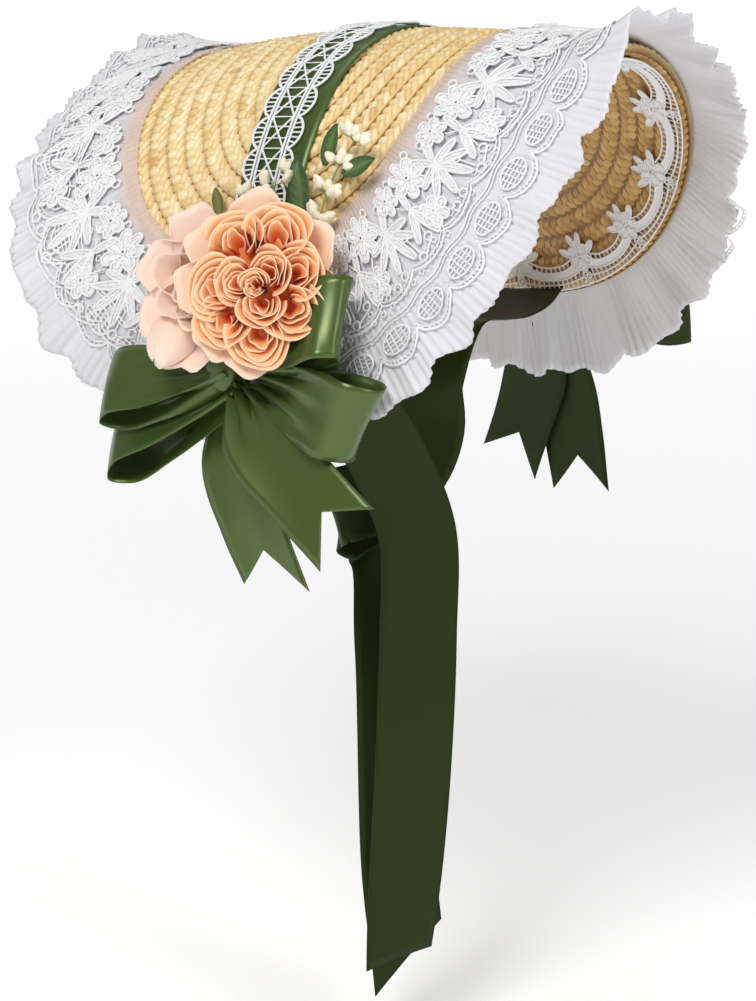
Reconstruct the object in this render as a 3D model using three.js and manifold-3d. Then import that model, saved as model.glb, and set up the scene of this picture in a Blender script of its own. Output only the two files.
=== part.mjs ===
// A poke bonnet. A straw plate sewn from braid is bent over the head like a saddle, edged with a pleated
// frill under two laces, crossed by a ribbon with a lace on it, trimmed at the wearer's right with a silk
// flower and a bow, at the left with a bow, and held on by two ribbon ties that hang free.
// Millimetres, +Z up, the face opening towards -Y. The origin is the inner top of the crown.

import * as THREE from "three";
import { mergeVertices } from "three/addons/utils/BufferGeometryUtils.js";
import Module from "manifold-3d";

const wasm = await Module();
wasm.setup();

const DEG = Math.PI / 180;

// Driving dimensions.
const RIBBON_WIDTH = 40;
const CLOTH = 1;
const STRAW = {
  halfLength: 200, front: 147, back: 139, squareness: 2.45,
  wall: 2.4, rows: 11, lap: 1, sides: 40, seam: 0.03,
};
const ARCH = { sideAngle: 90 * DEG, bendLength: 126, pitch: 4.4 * DEG };
const FRONT = { reach: STRAW.front, spread: -0.13, rise: -0.14, drop: 11, cover: 56, frill: 33 };
const BACK = { reach: STRAW.back, spread: 0.28, rise: 0, drop: 14.5, cover: 27, frill: 31 };
const EAR_FRILL = 46;
const FRILL = { height: 5.2, heading: 8, hem: 2, wave: 4, gathers: 44 };
const NET = { height: 7.2, lead: 14, gap: 12, scallop: 5, scallops: 25 };
const GUIPURE = { height: 9.2, width: 52, scallop: 5, motifs: 22 };
const INNER_LACE = { height: -3.6, width: 18, inset: 2, motifs: 22 };
const CROWN_RIBBON = { height: 4.8, halfLength: 148, steps: 22 };
const CROWN_LACE = { height: 6.4, width: 24, back: 5, pitch: 12.8, repeats: 20 };
const NEAR_BOW = { u: -207, v: -2, height: 16 };
const FAR_BOW = { u: 207, v: -2, height: 17 };
const FLOWER = { u: -170, v: -14, height: 13 };

const COLOUR = {
  straw: 0xe3c27a, sheer: 0xf3eff2, lace: 0xfafafa, ribbon: 0x4f6b33, peach: 0xf6b08a, blush: 0xf8d6c8,
  bud: 0xf3ecd6, leaf: 0x5f7a3a,
};

const bonnet = new THREE.Group();

// The saddle that the straw lies on: u runs over the head from ear to ear, v from the face to the nape.

// Side profile of the arch: level at the ridge, its slope grows to sideAngle at the ears.
function archAt(u) {
  const steps = 40;
  const step = Math.abs(u) / steps;
  let across = 0;
  let down = 0;
  for (let i = 0; i < steps; i++) {
    const slope = ARCH.sideAngle * Math.tanh(((i + 0.5) * step) / ARCH.bendLength);
    across += Math.cos(slope) * step;
    down += Math.sin(slope) * step;
  }
  return { across: across * Math.sign(u), down };
}

// Inner face of the straw: the arch spreads and drops with the square of the distance from the ridge line.
function saddle(u, v) {
  const end = v < 0 ? FRONT : BACK;
  const square = (v / end.reach) ** 2;
  const { across, down } = archAt(u);
  const z = -down * (1 + end.rise * square) - end.drop * square;
  const cos = Math.cos(ARCH.pitch);
  const sin = Math.sin(ARCH.pitch);
  return new THREE.Vector3(across * (1 + end.spread * square), v * cos + z * sin, -v * sin + z * cos);
}

function outward(u, v) {
  const along = saddle(u + 0.5, v).sub(saddle(u - 0.5, v));
  const across = saddle(u, v + 0.5).sub(saddle(u, v - 0.5));
  return along.cross(across).normalize();
}

function onSaddle(u, v, height) {
  return saddle(u, v).addScaledVector(outward(u, v), height);
}

// Outline of the straw: a squared oval, offset outwards by `out`, with its outward direction in the plate.
function outline(angle, out) {
  const c = Math.cos(angle);
  const s = Math.sin(angle);
  const reach = s < 0 ? STRAW.front : STRAW.back;
  const power = 2 / STRAW.squareness;
  const normal = new THREE.Vector2(
    (Math.sign(c) * Math.abs(c) ** (2 - power)) / STRAW.halfLength,
    (Math.sign(s) * Math.abs(s) ** (2 - power)) / reach,
  ).normalize();
  const u = STRAW.halfLength * Math.sign(c) * Math.abs(c) ** power;
  const v = reach * Math.sign(s) * Math.abs(s) ** power;
  return { u: u + out * normal.x, v: v + out * normal.y, normal };
}

// Angles at equal distances round the outline.
function evenAngles(count) {
  const fine = 1440;
  const lengths = [0];
  let last = outline(0, 0);
  for (let i = 1; i <= fine; i++) {
    const next = outline((i / fine) * 2 * Math.PI, 0);
    lengths.push(lengths[i - 1] + Math.hypot(next.u - last.u, next.v - last.v));
    last = next;
  }
  const angles = [];
  let j = 1;
  for (let i = 0; i < count; i++) {
    const target = (lengths[fine] * i) / count;
    while (lengths[j] < target) j++;
    const part = (target - lengths[j - 1]) / (lengths[j] - lengths[j - 1]);
    angles.push(((j - 1 + part) / fine) * 2 * Math.PI);
  }
  return angles;
}

// How far the lace reaches over the straw, and the frill beyond it, at one angle.
function coverAt(angle) {
  const { normal } = outline(angle, 0);
  return (FRONT.cover + BACK.cover) / 2 + ((BACK.cover - FRONT.cover) / 2) * normal.y;
}

function frillAt(angle) {
  const { normal } = outline(angle, 0);
  const end = normal.y < 0 ? FRONT : BACK;
  return EAR_FRILL + (end.frill - EAR_FRILL) * normal.y * normal.y;
}

// Height of the frill's waves: none on the straw, growing to the free edge.
function waveAt(angle, out) {
  return FRILL.wave * Math.max(0, out - FRILL.hem) / (frillAt(angle) - FRILL.hem);
}

function onOutline(angle, out, height) {
  const { u, v } = outline(angle, out);
  return onSaddle(u, v, height);
}

// Closed bodies from grids of points.

function bodyFrom(points, faces) {
  const geometry = new THREE.BufferGeometry();
  geometry.setAttribute("position", new THREE.Float32BufferAttribute(points.flatMap((p) => p.toArray()), 3));
  let volume = 0;
  for (const [a, b, c] of faces) volume += points[a].dot(points[b].clone().cross(points[c]));
  geometry.setIndex(faces.flatMap(([a, b, c]) => (volume > 0 ? [a, b, c] : [a, c, b])));
  return geometry;
}

// A cloth of cells columns x rows with an upper and a lower face; `open(i, j)` names cells that are cut out.
function clothBody({ columns, rows, round = false, upper, lower, open = () => false }) {
  const across = rows + 1;
  const stations = round ? columns : columns + 1;
  const points = [];
  for (const face of [upper, lower]) {
    for (let i = 0; i < stations; i++) {
      for (let j = 0; j <= rows; j++) points.push(face(i, j));
    }
  }
  const at = (i, j) => (i % stations) * across + j;
  const under = stations * across;
  const faces = [];
  const quad = (a, b, c, d) => faces.push([a, b, c], [a, c, d]);
  const wall = (a, b) => quad(a, a + under, b + under, b);
  const solid = (i, j) => {
    const column = round ? (i + columns) % columns : i;
    return column >= 0 && column < columns && j >= 0 && j < rows && !open(column, j);
  };
  for (let i = 0; i < columns; i++) {
    for (let j = 0; j < rows; j++) {
      if (!solid(i, j)) continue;
      const [a, b, c, d] = [at(i, j), at(i + 1, j), at(i + 1, j + 1), at(i, j + 1)];
      quad(a, b, c, d);
      quad(c + under, b + under, a + under, d + under);
      if (!solid(i, j - 1)) wall(a, b);
      if (!solid(i + 1, j)) wall(b, c);
      if (!solid(i, j + 1)) wall(c, d);
      if (!solid(i - 1, j)) wall(d, a);
    }
  }
  const used = [...new Set(faces.flat())];
  const place = new Map(used.map((old, index) => [old, index]));
  return bodyFrom(used.map((old) => points[old]), faces.map((face) => face.map((old) => place.get(old))));
}

// A strip round the outline: `out(angle, j)` and `height(angle, out, i)` place its rows.
function ringCloth({ columns, rows, out, height, open }) {
  const angles = evenAngles(columns);
  const point = (i, j, side) => {
    const edge = out(angles[i], j, i);
    return onOutline(angles[i], edge, height(angles[i], edge, i) + (side * CLOTH) / 2);
  };
  return clothBody({
    columns, rows, round: true, open, upper: (i, j) => point(i, j, 1), lower: (i, j) => point(i, j, -1),
  });
}

function addPart(name, geometry, colour, roughness) {
  geometry.computeVertexNormals();
  const material = new THREE.MeshStandardMaterial({ color: colour, roughness, metalness: 0 });
  const mesh = new THREE.Mesh(geometry, material);
  mesh.name = name;
  bonnet.add(mesh);
}

function toSolid(geometry) {
  const bare = new THREE.BufferGeometry();
  bare.setAttribute("position", geometry.getAttribute("position").clone());
  if (geometry.index) bare.setIndex(geometry.index.clone());
  const merged = mergeVertices(bare, 1e-4);
  return new wasm.Manifold(new wasm.Mesh({
    numProp: 3,
    vertProperties: new Float32Array(merged.getAttribute("position").array),
    triVerts: new Uint32Array(merged.index.array),
  }));
}

function fuse(geometries) {
  const joined = geometries.map(toSolid).reduce((sum, next) => sum.add(next)).getMesh();
  const geometry = new THREE.BufferGeometry();
  geometry.setAttribute("position", new THREE.BufferAttribute(joined.vertProperties, 3));
  geometry.setIndex(new THREE.BufferAttribute(joined.triVerts, 1));
  return geometry;
}

// The straw: rows of braid lapped from the rim inwards to a seam along the ridge line.
function strawCrown() {
  const mid = (STRAW.front + STRAW.back) / 2;
  const angles = evenAngles(STRAW.sides);
  const ringPoint = (angle, ring, height) => {
    const { u, v } = outline(angle, 0);
    const grow = (STRAW.halfLength - mid * (1 - ring)) / STRAW.halfLength;
    return onSaddle(u * grow, v * ring, height);
  };
  const outer = [];
  for (let row = STRAW.rows; row > 0; row--) {
    outer.push({ ring: row / STRAW.rows, height: STRAW.wall + STRAW.lap });
    outer.push({ ring: Math.max((row - 1) / STRAW.rows, STRAW.seam), height: STRAW.wall });
  }
  const inner = [STRAW.seam, 0.25, 0.5, 0.75, 1].map((ring) => ({ ring, height: 0 }));
  const rings = [...outer, ...inner];
  const points = rings.flatMap(({ ring, height }) => angles.map((angle) => ringPoint(angle, ring, height)));
  const at = (k, i) => k * STRAW.sides + (i % STRAW.sides);
  const faces = [];
  const lastOuter = outer.length - 1;
  for (let k = 0; k < rings.length; k++) {
    if (k === lastOuter) continue;
    const next = (k + 1) % rings.length;
    for (let i = 0; i < STRAW.sides; i++) {
      faces.push([at(k, i), at(k, i + 1), at(next, i + 1)], [at(k, i), at(next, i + 1), at(next, i)]);
    }
  }
  for (let i = 0; i < STRAW.sides / 2; i++) {
    const [a, b, c, d] = [i, i + 1, STRAW.sides - i - 1, STRAW.sides - i];
    for (const [k, l, m] of [[a, b, c], [a, c, d]]) {
      if (k % STRAW.sides === m % STRAW.sides || l === m) continue;
      faces.push([at(lastOuter, k), at(lastOuter, l), at(lastOuter, m)]);
      faces.push([at(lastOuter + 1, k), at(lastOuter + 1, m), at(lastOuter + 1, l)]);
    }
  }
  return bodyFrom(points, faces);
}

// The frill: a sheer pleated strip sewn on the straw under the lace, its free edge standing in gathers.
function frill() {
  const onStraw = [-1, -0.66, -0.33];
  return ringCloth({
    columns: FRILL.gathers * 2,
    rows: 4,
    out: (angle, j) => {
      if (j < onStraw.length) return onStraw[j] * (coverAt(angle) + FRILL.heading);
      return j === onStraw.length ? FRILL.hem : frillAt(angle);
    },
    height: (angle, out, i) => FRILL.height + waveAt(angle, out) * (i % 2 ? 1 : -1),
  });
}

// The soft net lace over the frill, its free edge in scallops of three cells.
function netLace() {
  const cells = 3;
  const edge = (angle, i) => frillAt(angle) - NET.gap + (i % cells ? NET.scallop : -NET.scallop);
  return ringCloth({
    columns: NET.scallops * cells,
    rows: 2,
    out: (angle, j, i) => [-NET.lead, 4, edge(angle, i)][j],
    height: (angle, out) => NET.height + 1.3 * waveAt(angle, out),
  });
}

// The corded lace over the net: motifs of four cells, pierced beside each flower and scalloped on both edges.
function guipureLace() {
  const cells = 4;
  const swing = [-1, 0.4, 1, 0.4];
  return ringCloth({
    columns: GUIPURE.motifs * cells,
    rows: 3,
    out: (angle, j, i) => {
      const wave = GUIPURE.scallop * swing[i % cells];
      const start = -coverAt(angle);
      return [start - wave * 0.6, start + 16, start + 34, start + GUIPURE.width + wave - 6][j];
    },
    height: (angle, out) => GUIPURE.height + 1.5 * waveAt(angle, out),
    open: (i, j) => j === 1 && i % cells === 0,
  });
}

// The lace inside the brim: arcs with a slot between flowers, along the edge of the straw.
function innerLace() {
  const cells = 3;
  return ringCloth({
    columns: INNER_LACE.motifs * cells,
    rows: 3,
    out: (angle, j, i) => {
      const flower = i % cells ? 0 : 4;
      const start = -INNER_LACE.inset - INNER_LACE.width;
      return [start - flower, start + 6, start + 11, -INNER_LACE.inset][j];
    },
    height: () => INNER_LACE.height,
    open: (i, j) => j === 1 && i % cells === 1,
  });
}

addPart("straw_crown", strawCrown(), COLOUR.straw, 0.6);
addPart("frill", frill(), COLOUR.sheer, 0.8);
addPart("lace_net", netLace(), COLOUR.lace, 0.85);
addPart("lace_guipure", guipureLace(), COLOUR.lace, 0.85);
addPart("lace_inner", innerLace(), COLOUR.lace, 0.85);

// A flat strip over the crown, from ear to ear.
function crownStrip({ steps, halfLength, rows, edge, height, open }) {
  const point = (i, j, side) => {
    const u = (i / steps - 0.5) * 2 * halfLength;
    return onSaddle(u, edge(i, j), height + (side * CLOTH) / 2);
  };
  return clothBody({
    columns: steps, rows, open, upper: (i, j) => point(i, j, 1), lower: (i, j) => point(i, j, -1),
  });
}

addPart("crown_ribbon", crownStrip({
  steps: CROWN_RIBBON.steps,
  halfLength: CROWN_RIBBON.halfLength,
  rows: 1,
  edge: (i, j) => (j - 0.5) * RIBBON_WIDTH,
  height: CROWN_RIBBON.height,
}), COLOUR.ribbon, 0.35);

// The crown lace: a lattice with a diamond cut out of each repeat, and scalloped edges.
function crownLace() {
  const half = CROWN_LACE.width / 2;
  const levels = [-1, -0.5, 0.5, 1];
  const edge = (i, j) => {
    const scallop = i % 2 ? 1 : 0.84;
    const pinch = i % 2 ? 1 : 0.6;
    return CROWN_LACE.back + half * levels[j] * (Math.abs(levels[j]) === 1 ? scallop : pinch);
  };
  return crownStrip({
    steps: CROWN_LACE.repeats * 2,
    halfLength: (CROWN_LACE.repeats * CROWN_LACE.pitch) / 2,
    rows: 3,
    edge,
    height: CROWN_LACE.height,
    open: (i, j) => j === 1 && i % 2 === 0,
  });
}

addPart("crown_lace", crownLace(), COLOUR.lace, 0.85);

// Ribbons: a strip along a curve, with its own direction across at each point.
// path: columns [point, across, width]; notch cuts the end to a swallow tail, slant cuts it askew.
function ribbonBody({ path, steps, notch = 0, slant = 0 }) {
  const rows = notch ? 2 : 1;
  const curve = new THREE.CatmullRomCurve3(path.map(([point]) => point), false, "centripetal");
  const acrossCurve = new THREE.CatmullRomCurve3(path.map(([, across]) => across.clone().normalize()));
  const widths = path.map(([, , width]) => width);
  const station = (i) => {
    const t = i / steps;
    const knot = Math.min(t * (path.length - 1), path.length - 1.0001);
    const k = Math.floor(knot);
    const width = widths[k] + (widths[k + 1] - widths[k]) * (knot - k);
    const along = curve.getTangent(t);
    const across = acrossCurve.getPoint(t);
    across.addScaledVector(along, -across.dot(along)).normalize();
    return { centre: curve.getPoint(t), along, across, normal: along.clone().cross(across), width };
  };
  const stations = Array.from({ length: steps + 1 }, (_, i) => station(i));
  const point = (i, j, side) => {
    const { centre, along, across, normal, width } = stations[i];
    const share = (2 * j) / rows - 1;
    const cut = i < steps ? 0 : share * slant - (share === 0 ? notch : 0);
    return centre.clone()
      .addScaledVector(across, (share * width) / 2)
      .addScaledVector(normal, (side * CLOTH) / 2)
      .addScaledVector(along, cut);
  };
  return clothBody({
    columns: steps, rows, upper: (i, j) => point(i, j, 1), lower: (i, j) => point(i, j, -1),
  });
}

// Local frame on the bonnet's side: forward to the face, down away from the ridge, out from the straw.
function sideFrame({ u, v, height }) {
  const out = outward(u, v);
  const forward = saddle(u, v - 1).sub(saddle(u, v + 1)).normalize();
  const down = saddle(u + Math.sign(u), v).sub(saddle(u - Math.sign(u), v)).normalize();
  const origin = onSaddle(u, v, height);
  const place = ([f, d, o]) =>
    origin.clone().addScaledVector(forward, f).addScaledVector(down, d).addScaledVector(out, o);
  const direction = (f, d, o = 0) => place([f, d, o]).sub(origin);
  return { origin, forward, down, out, place, direction };
}

// A bow loop leaves the knot, folds at its far end and comes back over itself.
function bowLoop(frame, { forward, down, lean, root, under, over, bulge }) {
  const across = frame.direction(Math.sin(lean * DEG), Math.cos(lean * DEG));
  const pinch = 0.4 * RIBBON_WIDTH;
  const at = (share, out) => frame.place([forward * share, down * share, out]);
  return ribbonBody({
    steps: 14,
    path: [
      [at(0.13, root), across, pinch],
      [at(0.5, under), across, RIBBON_WIDTH * 0.8],
      [at(0.92, under), across, RIBBON_WIDTH],
      [at(1, (under + over + bulge) / 2), across, RIBBON_WIDTH],
      [at(0.92, over + bulge), across, RIBBON_WIDTH],
      [at(0.5, over), across, RIBBON_WIDTH * 0.8],
      [at(0.13, root + 3), across, pinch],
    ],
  });
}

// A bow tail hangs from the knot and ends in a swallow tail.
function bowTail(frame, { forward, down, lean, out, root }) {
  const across = frame.direction(Math.cos(lean * DEG), -Math.sin(lean * DEG));
  return ribbonBody({
    steps: 7,
    notch: 20,
    path: [
      [frame.place([forward * 0.1, 11, root]), across, 0.35 * RIBBON_WIDTH],
      [frame.place([forward * 0.3, down * 0.38, out]), across, 0.95 * RIBBON_WIDTH],
      [frame.place([forward * 0.65, down * 0.7, out + 1]), across, RIBBON_WIDTH],
      [frame.place([forward, down, out]), across, RIBBON_WIDTH],
    ],
  });
}

// The knot: a padded wrap over the roots of the loops.
function bowKnot(frame, out) {
  const size = { forward: 9, down: 11, out: 4 };
  const ball = new THREE.SphereGeometry(1, 8, 5).scale(size.forward, size.down, size.out);
  const third = frame.forward.clone().cross(frame.down);
  const turned = new THREE.Matrix4().makeBasis(frame.forward, frame.down, third);
  return ball.applyMatrix4(turned.setPosition(frame.place([0, 0, out])));
}

// Bows. forward and down reach to the fold or the end, and lean turns the ribbon's width. root, under, over
// and out are heights over the bow's place, and bulge is how much the fold stands higher than the root.
const NEAR_LOOPS = [
  { name: "back_upper", forward: -78, down: 27, lean: -10, root: 8, under: 14, over: 20, bulge: 4 },
  { name: "back_lower", forward: -70, down: 53, lean: 8, root: 2, under: 4, over: 9, bulge: 0 },
  { name: "front_upper", forward: 82, down: -28, lean: -14, root: 6, under: 5, over: 8, bulge: 11 },
  { name: "front_lower", forward: 88, down: 25, lean: -28, root: 0, under: -3, over: 1, bulge: 7 },
];
const NEAR_TAILS = [
  { name: "back", forward: 24, down: 106, lean: 8, out: -1, root: -5 },
  { name: "front", forward: 76, down: 74, lean: 42, out: 16, root: 8 },
];
const FAR_LOOPS = [
  { name: "back", forward: -76, down: 20, lean: -8, root: 1, under: 7, over: 14, bulge: 3 },
  { name: "front", forward: 86, down: -4, lean: -8, root: 1, under: 2, over: 12, bulge: 4 },
];
const FAR_TAILS = [
  { name: "back", forward: -30, down: 98, lean: -6, out: -1, root: -7 },
  { name: "front", forward: 18, down: 102, lean: 6, out: 3, root: -4 },
];

function addBow(prefix, place, loops, tails, knotHeight) {
  const frame = sideFrame(place);
  for (const loop of loops) addPart(`${prefix}_loop_${loop.name}`, bowLoop(frame, loop), COLOUR.ribbon, 0.35);
  for (const tail of tails) addPart(`${prefix}_tail_${tail.name}`, bowTail(frame, tail), COLOUR.ribbon, 0.35);
  addPart(`${prefix}_knot`, bowKnot(frame, knotHeight), COLOUR.ribbon, 0.35);
}

addBow("bow", NEAR_BOW, NEAR_LOOPS, NEAR_TAILS, 14.5);
addBow("far_bow", FAR_BOW, FAR_LOOPS, FAR_TAILS, 9.5);

// Ties: sewn inside the straw at the ears, one hanging straight, one swung under the chin and then down.
const vector = (x, y, z) => new THREE.Vector3(x, y, z);
const SEEN_FLAT = vector(0.72, -0.69, 0);
const UPRIGHT = vector(0.2, -0.3, -0.93);

addPart("tie_near", ribbonBody({
  steps: 18,
  slant: -5,
  path: [
    [vector(-96, -62, -104), vector(0.1, -1, 0.1), RIBBON_WIDTH],
    [vector(-91, -59, -136), vector(0.2, -1, 0), RIBBON_WIDTH],
    [vector(-72, -47, -170), SEEN_FLAT, RIBBON_WIDTH],
    [vector(-50, -52, -206), SEEN_FLAT, RIBBON_WIDTH],
    [vector(-40, -55, -245), SEEN_FLAT, RIBBON_WIDTH],
    [vector(-39, -55, -300), SEEN_FLAT, RIBBON_WIDTH],
    [vector(-42, -52, -380), SEEN_FLAT, RIBBON_WIDTH],
    [vector(-49, -44, -478), SEEN_FLAT, RIBBON_WIDTH],
  ],
}), COLOUR.ribbon, 0.35);

addPart("tie_far", ribbonBody({
  steps: 26,
  slant: -14,
  path: [
    [vector(100, -20, -129), vector(0, -1, 0.1), RIBBON_WIDTH],
    [vector(92, -23, -146), vector(0, -1, 0.1), RIBBON_WIDTH],
    [vector(56, -32, -147), vector(0, -1, 0.1), RIBBON_WIDTH],
    [vector(20, -28, -152), vector(0.3, -0.9, 0.1), RIBBON_WIDTH],
    [vector(-4, -32, -178), SEEN_FLAT, RIBBON_WIDTH],
    [vector(-6, -34, -208), vector(0.7, -0.65, -0.2), RIBBON_WIDTH],
    [vector(-24, -29, -236), UPRIGHT, RIBBON_WIDTH],
    [vector(-50, -20, -258), vector(0.5, -0.5, -0.7), RIBBON_WIDTH],
    [vector(-40, -22, -305), SEEN_FLAT, RIBBON_WIDTH],
    [vector(-30, -26, -380), SEEN_FLAT, RIBBON_WIDTH],
    [vector(-31, -25, -486), SEEN_FLAT, RIBBON_WIDTH],
  ],
}), COLOUR.ribbon, 0.35);

// Flowers: whorls of petals set in a boss and fused. Each whorl is a cup whose rim is cut into petals:
// petals round the cup, reach from the middle, tilt from flat to upright, start turns the whorl.
function whorlCup({ petals, reach, tilt, start, lift }) {
  const sides = 3;
  const rows = 2;
  const rim = [0.8, 1.02, 1.02];
  const point = (i, j, side) => {
    const turn = ((i / sides + start) / petals) * 2 * Math.PI;
    const share = 0.15 + (0.85 * j) / rows;
    const rise = tilt * DEG * (0.55 + 0.6 * share);
    const length = reach * share * (j === rows ? rim[i % sides] : 1);
    const dent = j > 0 && i % sides === 0 ? 0.08 * reach : 0;
    const radial = length * Math.cos(rise) - side * 0.5 * CLOTH * Math.sin(rise);
    const height = lift + dent + length * Math.sin(rise) + side * 0.5 * CLOTH * Math.cos(rise);
    return vector(radial * Math.cos(turn), radial * Math.sin(turn), height);
  };
  return clothBody({
    columns: petals * sides, rows, round: true,
    upper: (i, j) => point(i, j, 1), lower: (i, j) => point(i, j, -1),
  });
}

function bloom(centre, facing, boss, whorls) {
  const pieces = [new THREE.SphereGeometry(boss, 8, 5), ...whorls.map(whorlCup)];
  const turned = new THREE.Matrix4().makeRotationFromQuaternion(
    new THREE.Quaternion().setFromUnitVectors(vector(0, 0, 1), facing.clone().normalize()),
  ).setPosition(centre);
  return fuse(pieces).applyMatrix4(turned);
}

const MAIN_WHORLS = [
  { petals: 6, reach: 39, tilt: 18, start: 0, lift: 0 },
  { petals: 5, reach: 31, tilt: 44, start: 0.5, lift: 3 },
  { petals: 4, reach: 20, tilt: 72, start: 0.2, lift: 3 },
];
const BACK_WHORLS = [
  { petals: 5, reach: 27, tilt: 25, start: 0.3, lift: 0 },
  { petals: 3, reach: 18, tilt: 66, start: 0.1, lift: 3 },
];
const LOW_WHORLS = [
  { petals: 5, reach: 18, tilt: 32, start: 0.3, lift: 0 },
  { petals: 3, reach: 13, tilt: 70, start: 0.1, lift: 3 },
];

const flowerFrame = sideFrame(FLOWER);
const BLOOMS = [
  { name: "main", place: [4, -5, 21], facing: vector(-0.8, -0.46, 0.26), boss: 8, whorls: MAIN_WHORLS },
  { name: "back", place: [-46, -8, 6], facing: vector(-0.84, 0.3, 0.25), boss: 6, whorls: BACK_WHORLS },
  { name: "low", place: [-44, 20, 16], facing: vector(-0.84, 0.2, -0.2), boss: 6, whorls: LOW_WHORLS },
];
for (const { name, place, facing, boss, whorls } of BLOOMS) {
  const colour = name === "main" ? COLOUR.peach : COLOUR.blush;
  addPart(`bloom_${name}`, bloom(flowerFrame.place(place), facing, boss, whorls), colour, 0.7);
}

// Bud sprays: teardrop buds on stalks, fused to one stem. share is along the stem, the rest the way out.
function bud(from, to) {
  const length = from.distanceTo(to);
  const profile = [[0, 0], [1.4, length * 0.2], [1.2, length * 0.5], [3, length * 0.75], [0, length]];
  const shape = new THREE.LatheGeometry(profile.map(([r, h]) => new THREE.Vector2(r, h)), 5);
  const turn = new THREE.Quaternion().setFromUnitVectors(vector(0, 1, 0), to.clone().sub(from).normalize());
  return shape.applyQuaternion(turn).translate(from.x, from.y, from.z);
}

function budSpray(stem, buds, reach) {
  const [root, tip] = stem.map((place) => flowerFrame.place(place));
  const pieces = [bud(root, tip)];
  for (const { share, forward, down, out } of buds) {
    const from = root.clone().lerp(tip, share);
    const stalk = flowerFrame.direction(forward, down, out).setLength(reach);
    pieces.push(bud(from, from.clone().add(stalk)));
  }
  return fuse(pieces);
}

const BACK_BUDS = [
  { share: 0.3, forward: 0.9, down: -0.3, out: 0.4 },
  { share: 0.35, forward: -0.9, down: -0.2, out: 0.3 },
  { share: 0.55, forward: 0.8, down: -0.7, out: 0.2 },
  { share: 0.6, forward: -0.8, down: -0.6, out: 0.3 },
  { share: 0.7, forward: 0.3, down: -0.9, out: 0.5 },
];
const FRONT_BUDS = [
  { share: 0.2, forward: 0.9, down: 0.2, out: 0.4 },
  { share: 0.35, forward: -0.8, down: -0.5, out: 0.4 },
  { share: 0.45, forward: 0.9, down: -0.1, out: 0.3 },
  { share: 0.65, forward: -0.8, down: -0.5, out: 0.2 },
  { share: 0.75, forward: 0.9, down: -0.3, out: 0.4 },
];

addPart("bud_spray_back", budSpray([[-2, -38, 0], [-8, -62, -3]], BACK_BUDS, 15), COLOUR.bud, 0.6);
addPart("bud_spray_front", budSpray([[30, -28, 3], [50, -80, -2]], FRONT_BUDS, 15), COLOUR.bud, 0.6);

// Leaves: folded blades. Columns: root and tip from the flower as forward, down and out, and the width.
function leaf({ root, tip, width }) {
  const from = flowerFrame.place(root);
  const to = flowerFrame.place(tip);
  const along = to.clone().sub(from);
  const across = along.clone().cross(flowerFrame.out).normalize();
  const normal = across.clone().cross(along).normalize();
  const steps = 3;
  const point = (i, j, side) => {
    const half = (width / 2) * Math.sin(Math.PI * (0.12 + (0.83 * i) / steps));
    return from.clone()
      .addScaledVector(along, i / steps)
      .addScaledVector(across, half * (j - 1))
      .addScaledVector(normal, (j === 1 ? -0.1 : 0.1) * width + (side * CLOTH) / 2);
  };
  return clothBody({
    columns: steps, rows: 2, upper: (i, j) => point(i, j, 1), lower: (i, j) => point(i, j, -1),
  });
}

const LEAVES = [
  { root: [-54, -34, -1], tip: [-66, -44, -2], width: 9 },
  { root: [-33, -38, -1], tip: [-39, -54, -2], width: 8 },
  { root: [22, -38, 4], tip: [15, -66, 1], width: 11 },
  { root: [38, -66, 10], tip: [36, -86, 9], width: 9 },
  { root: [57, -58, 1], tip: [68, -70, -1], width: 9 },
];
LEAVES.forEach((blade, index) => addPart(`leaf_${index + 1}`, leaf(blade), COLOUR.leaf, 0.6));

export default bonnet;
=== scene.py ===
import bpy
import numpy as np
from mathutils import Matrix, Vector


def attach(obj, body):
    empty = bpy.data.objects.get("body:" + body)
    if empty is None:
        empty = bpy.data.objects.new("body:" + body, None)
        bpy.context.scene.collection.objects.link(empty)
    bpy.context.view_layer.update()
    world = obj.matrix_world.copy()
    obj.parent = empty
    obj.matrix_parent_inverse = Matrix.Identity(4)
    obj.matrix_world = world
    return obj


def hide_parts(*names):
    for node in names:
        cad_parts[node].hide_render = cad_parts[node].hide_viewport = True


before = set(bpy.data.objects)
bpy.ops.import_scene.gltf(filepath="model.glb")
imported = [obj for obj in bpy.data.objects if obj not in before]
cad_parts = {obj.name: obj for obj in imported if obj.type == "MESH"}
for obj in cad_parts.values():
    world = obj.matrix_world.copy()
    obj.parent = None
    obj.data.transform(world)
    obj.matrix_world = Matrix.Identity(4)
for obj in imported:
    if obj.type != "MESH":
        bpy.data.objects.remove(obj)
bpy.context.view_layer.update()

# Straw crown: flat plait of split straw sewn in rings from a seam under the ribbon out to the rim. Each row
# laps over the next one out. The plate is steamed over a form so that it arches from ear to ear.
STRAW_HALF_LENGTH = 0.200
STRAW_FRONT = 0.147
STRAW_BACK = 0.139
STRAW_SQUARENESS = 2.45
STRAW_WALL = 0.0024
STRAW_SEAM = 0.143
ARCH_BEND = 0.126
ARCH_PITCH = np.radians(4.4)
FACE_SPREAD = -0.13
NAPE_SPREAD = 0.28
FACE_SIDE_LIFT = 0.14
FACE_RIDGE_DROP = 0.011
NAPE_RIDGE_DROP = 0.0145
PLAIT_ROWS = 14
PLAIT_ROW_WIDTH = 0.0103
PLAIT_LAP = 0.0014
PLAIT_PITCH = 0.0050
PLAIT_COLUMN = np.array([0.29, 0.71])
PLAIT_PHASE = np.array([0.0, 0.5])
PLAIT_LEAN = np.radians([52.0, -52.0])
KNUCKLE_SIZE = (0.0041, 0.0023)
KNUCKLE_RISE = 0.0013
KNUCKLE_DIP = 0.0007
# Painted shade: the knuckles seen on the inside of the crown are darkened by this factor.
INSIDE_PAINTED_SHADE = 0.64
TINT_DARKER = 0.11
RING_STEPS = 288

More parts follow.
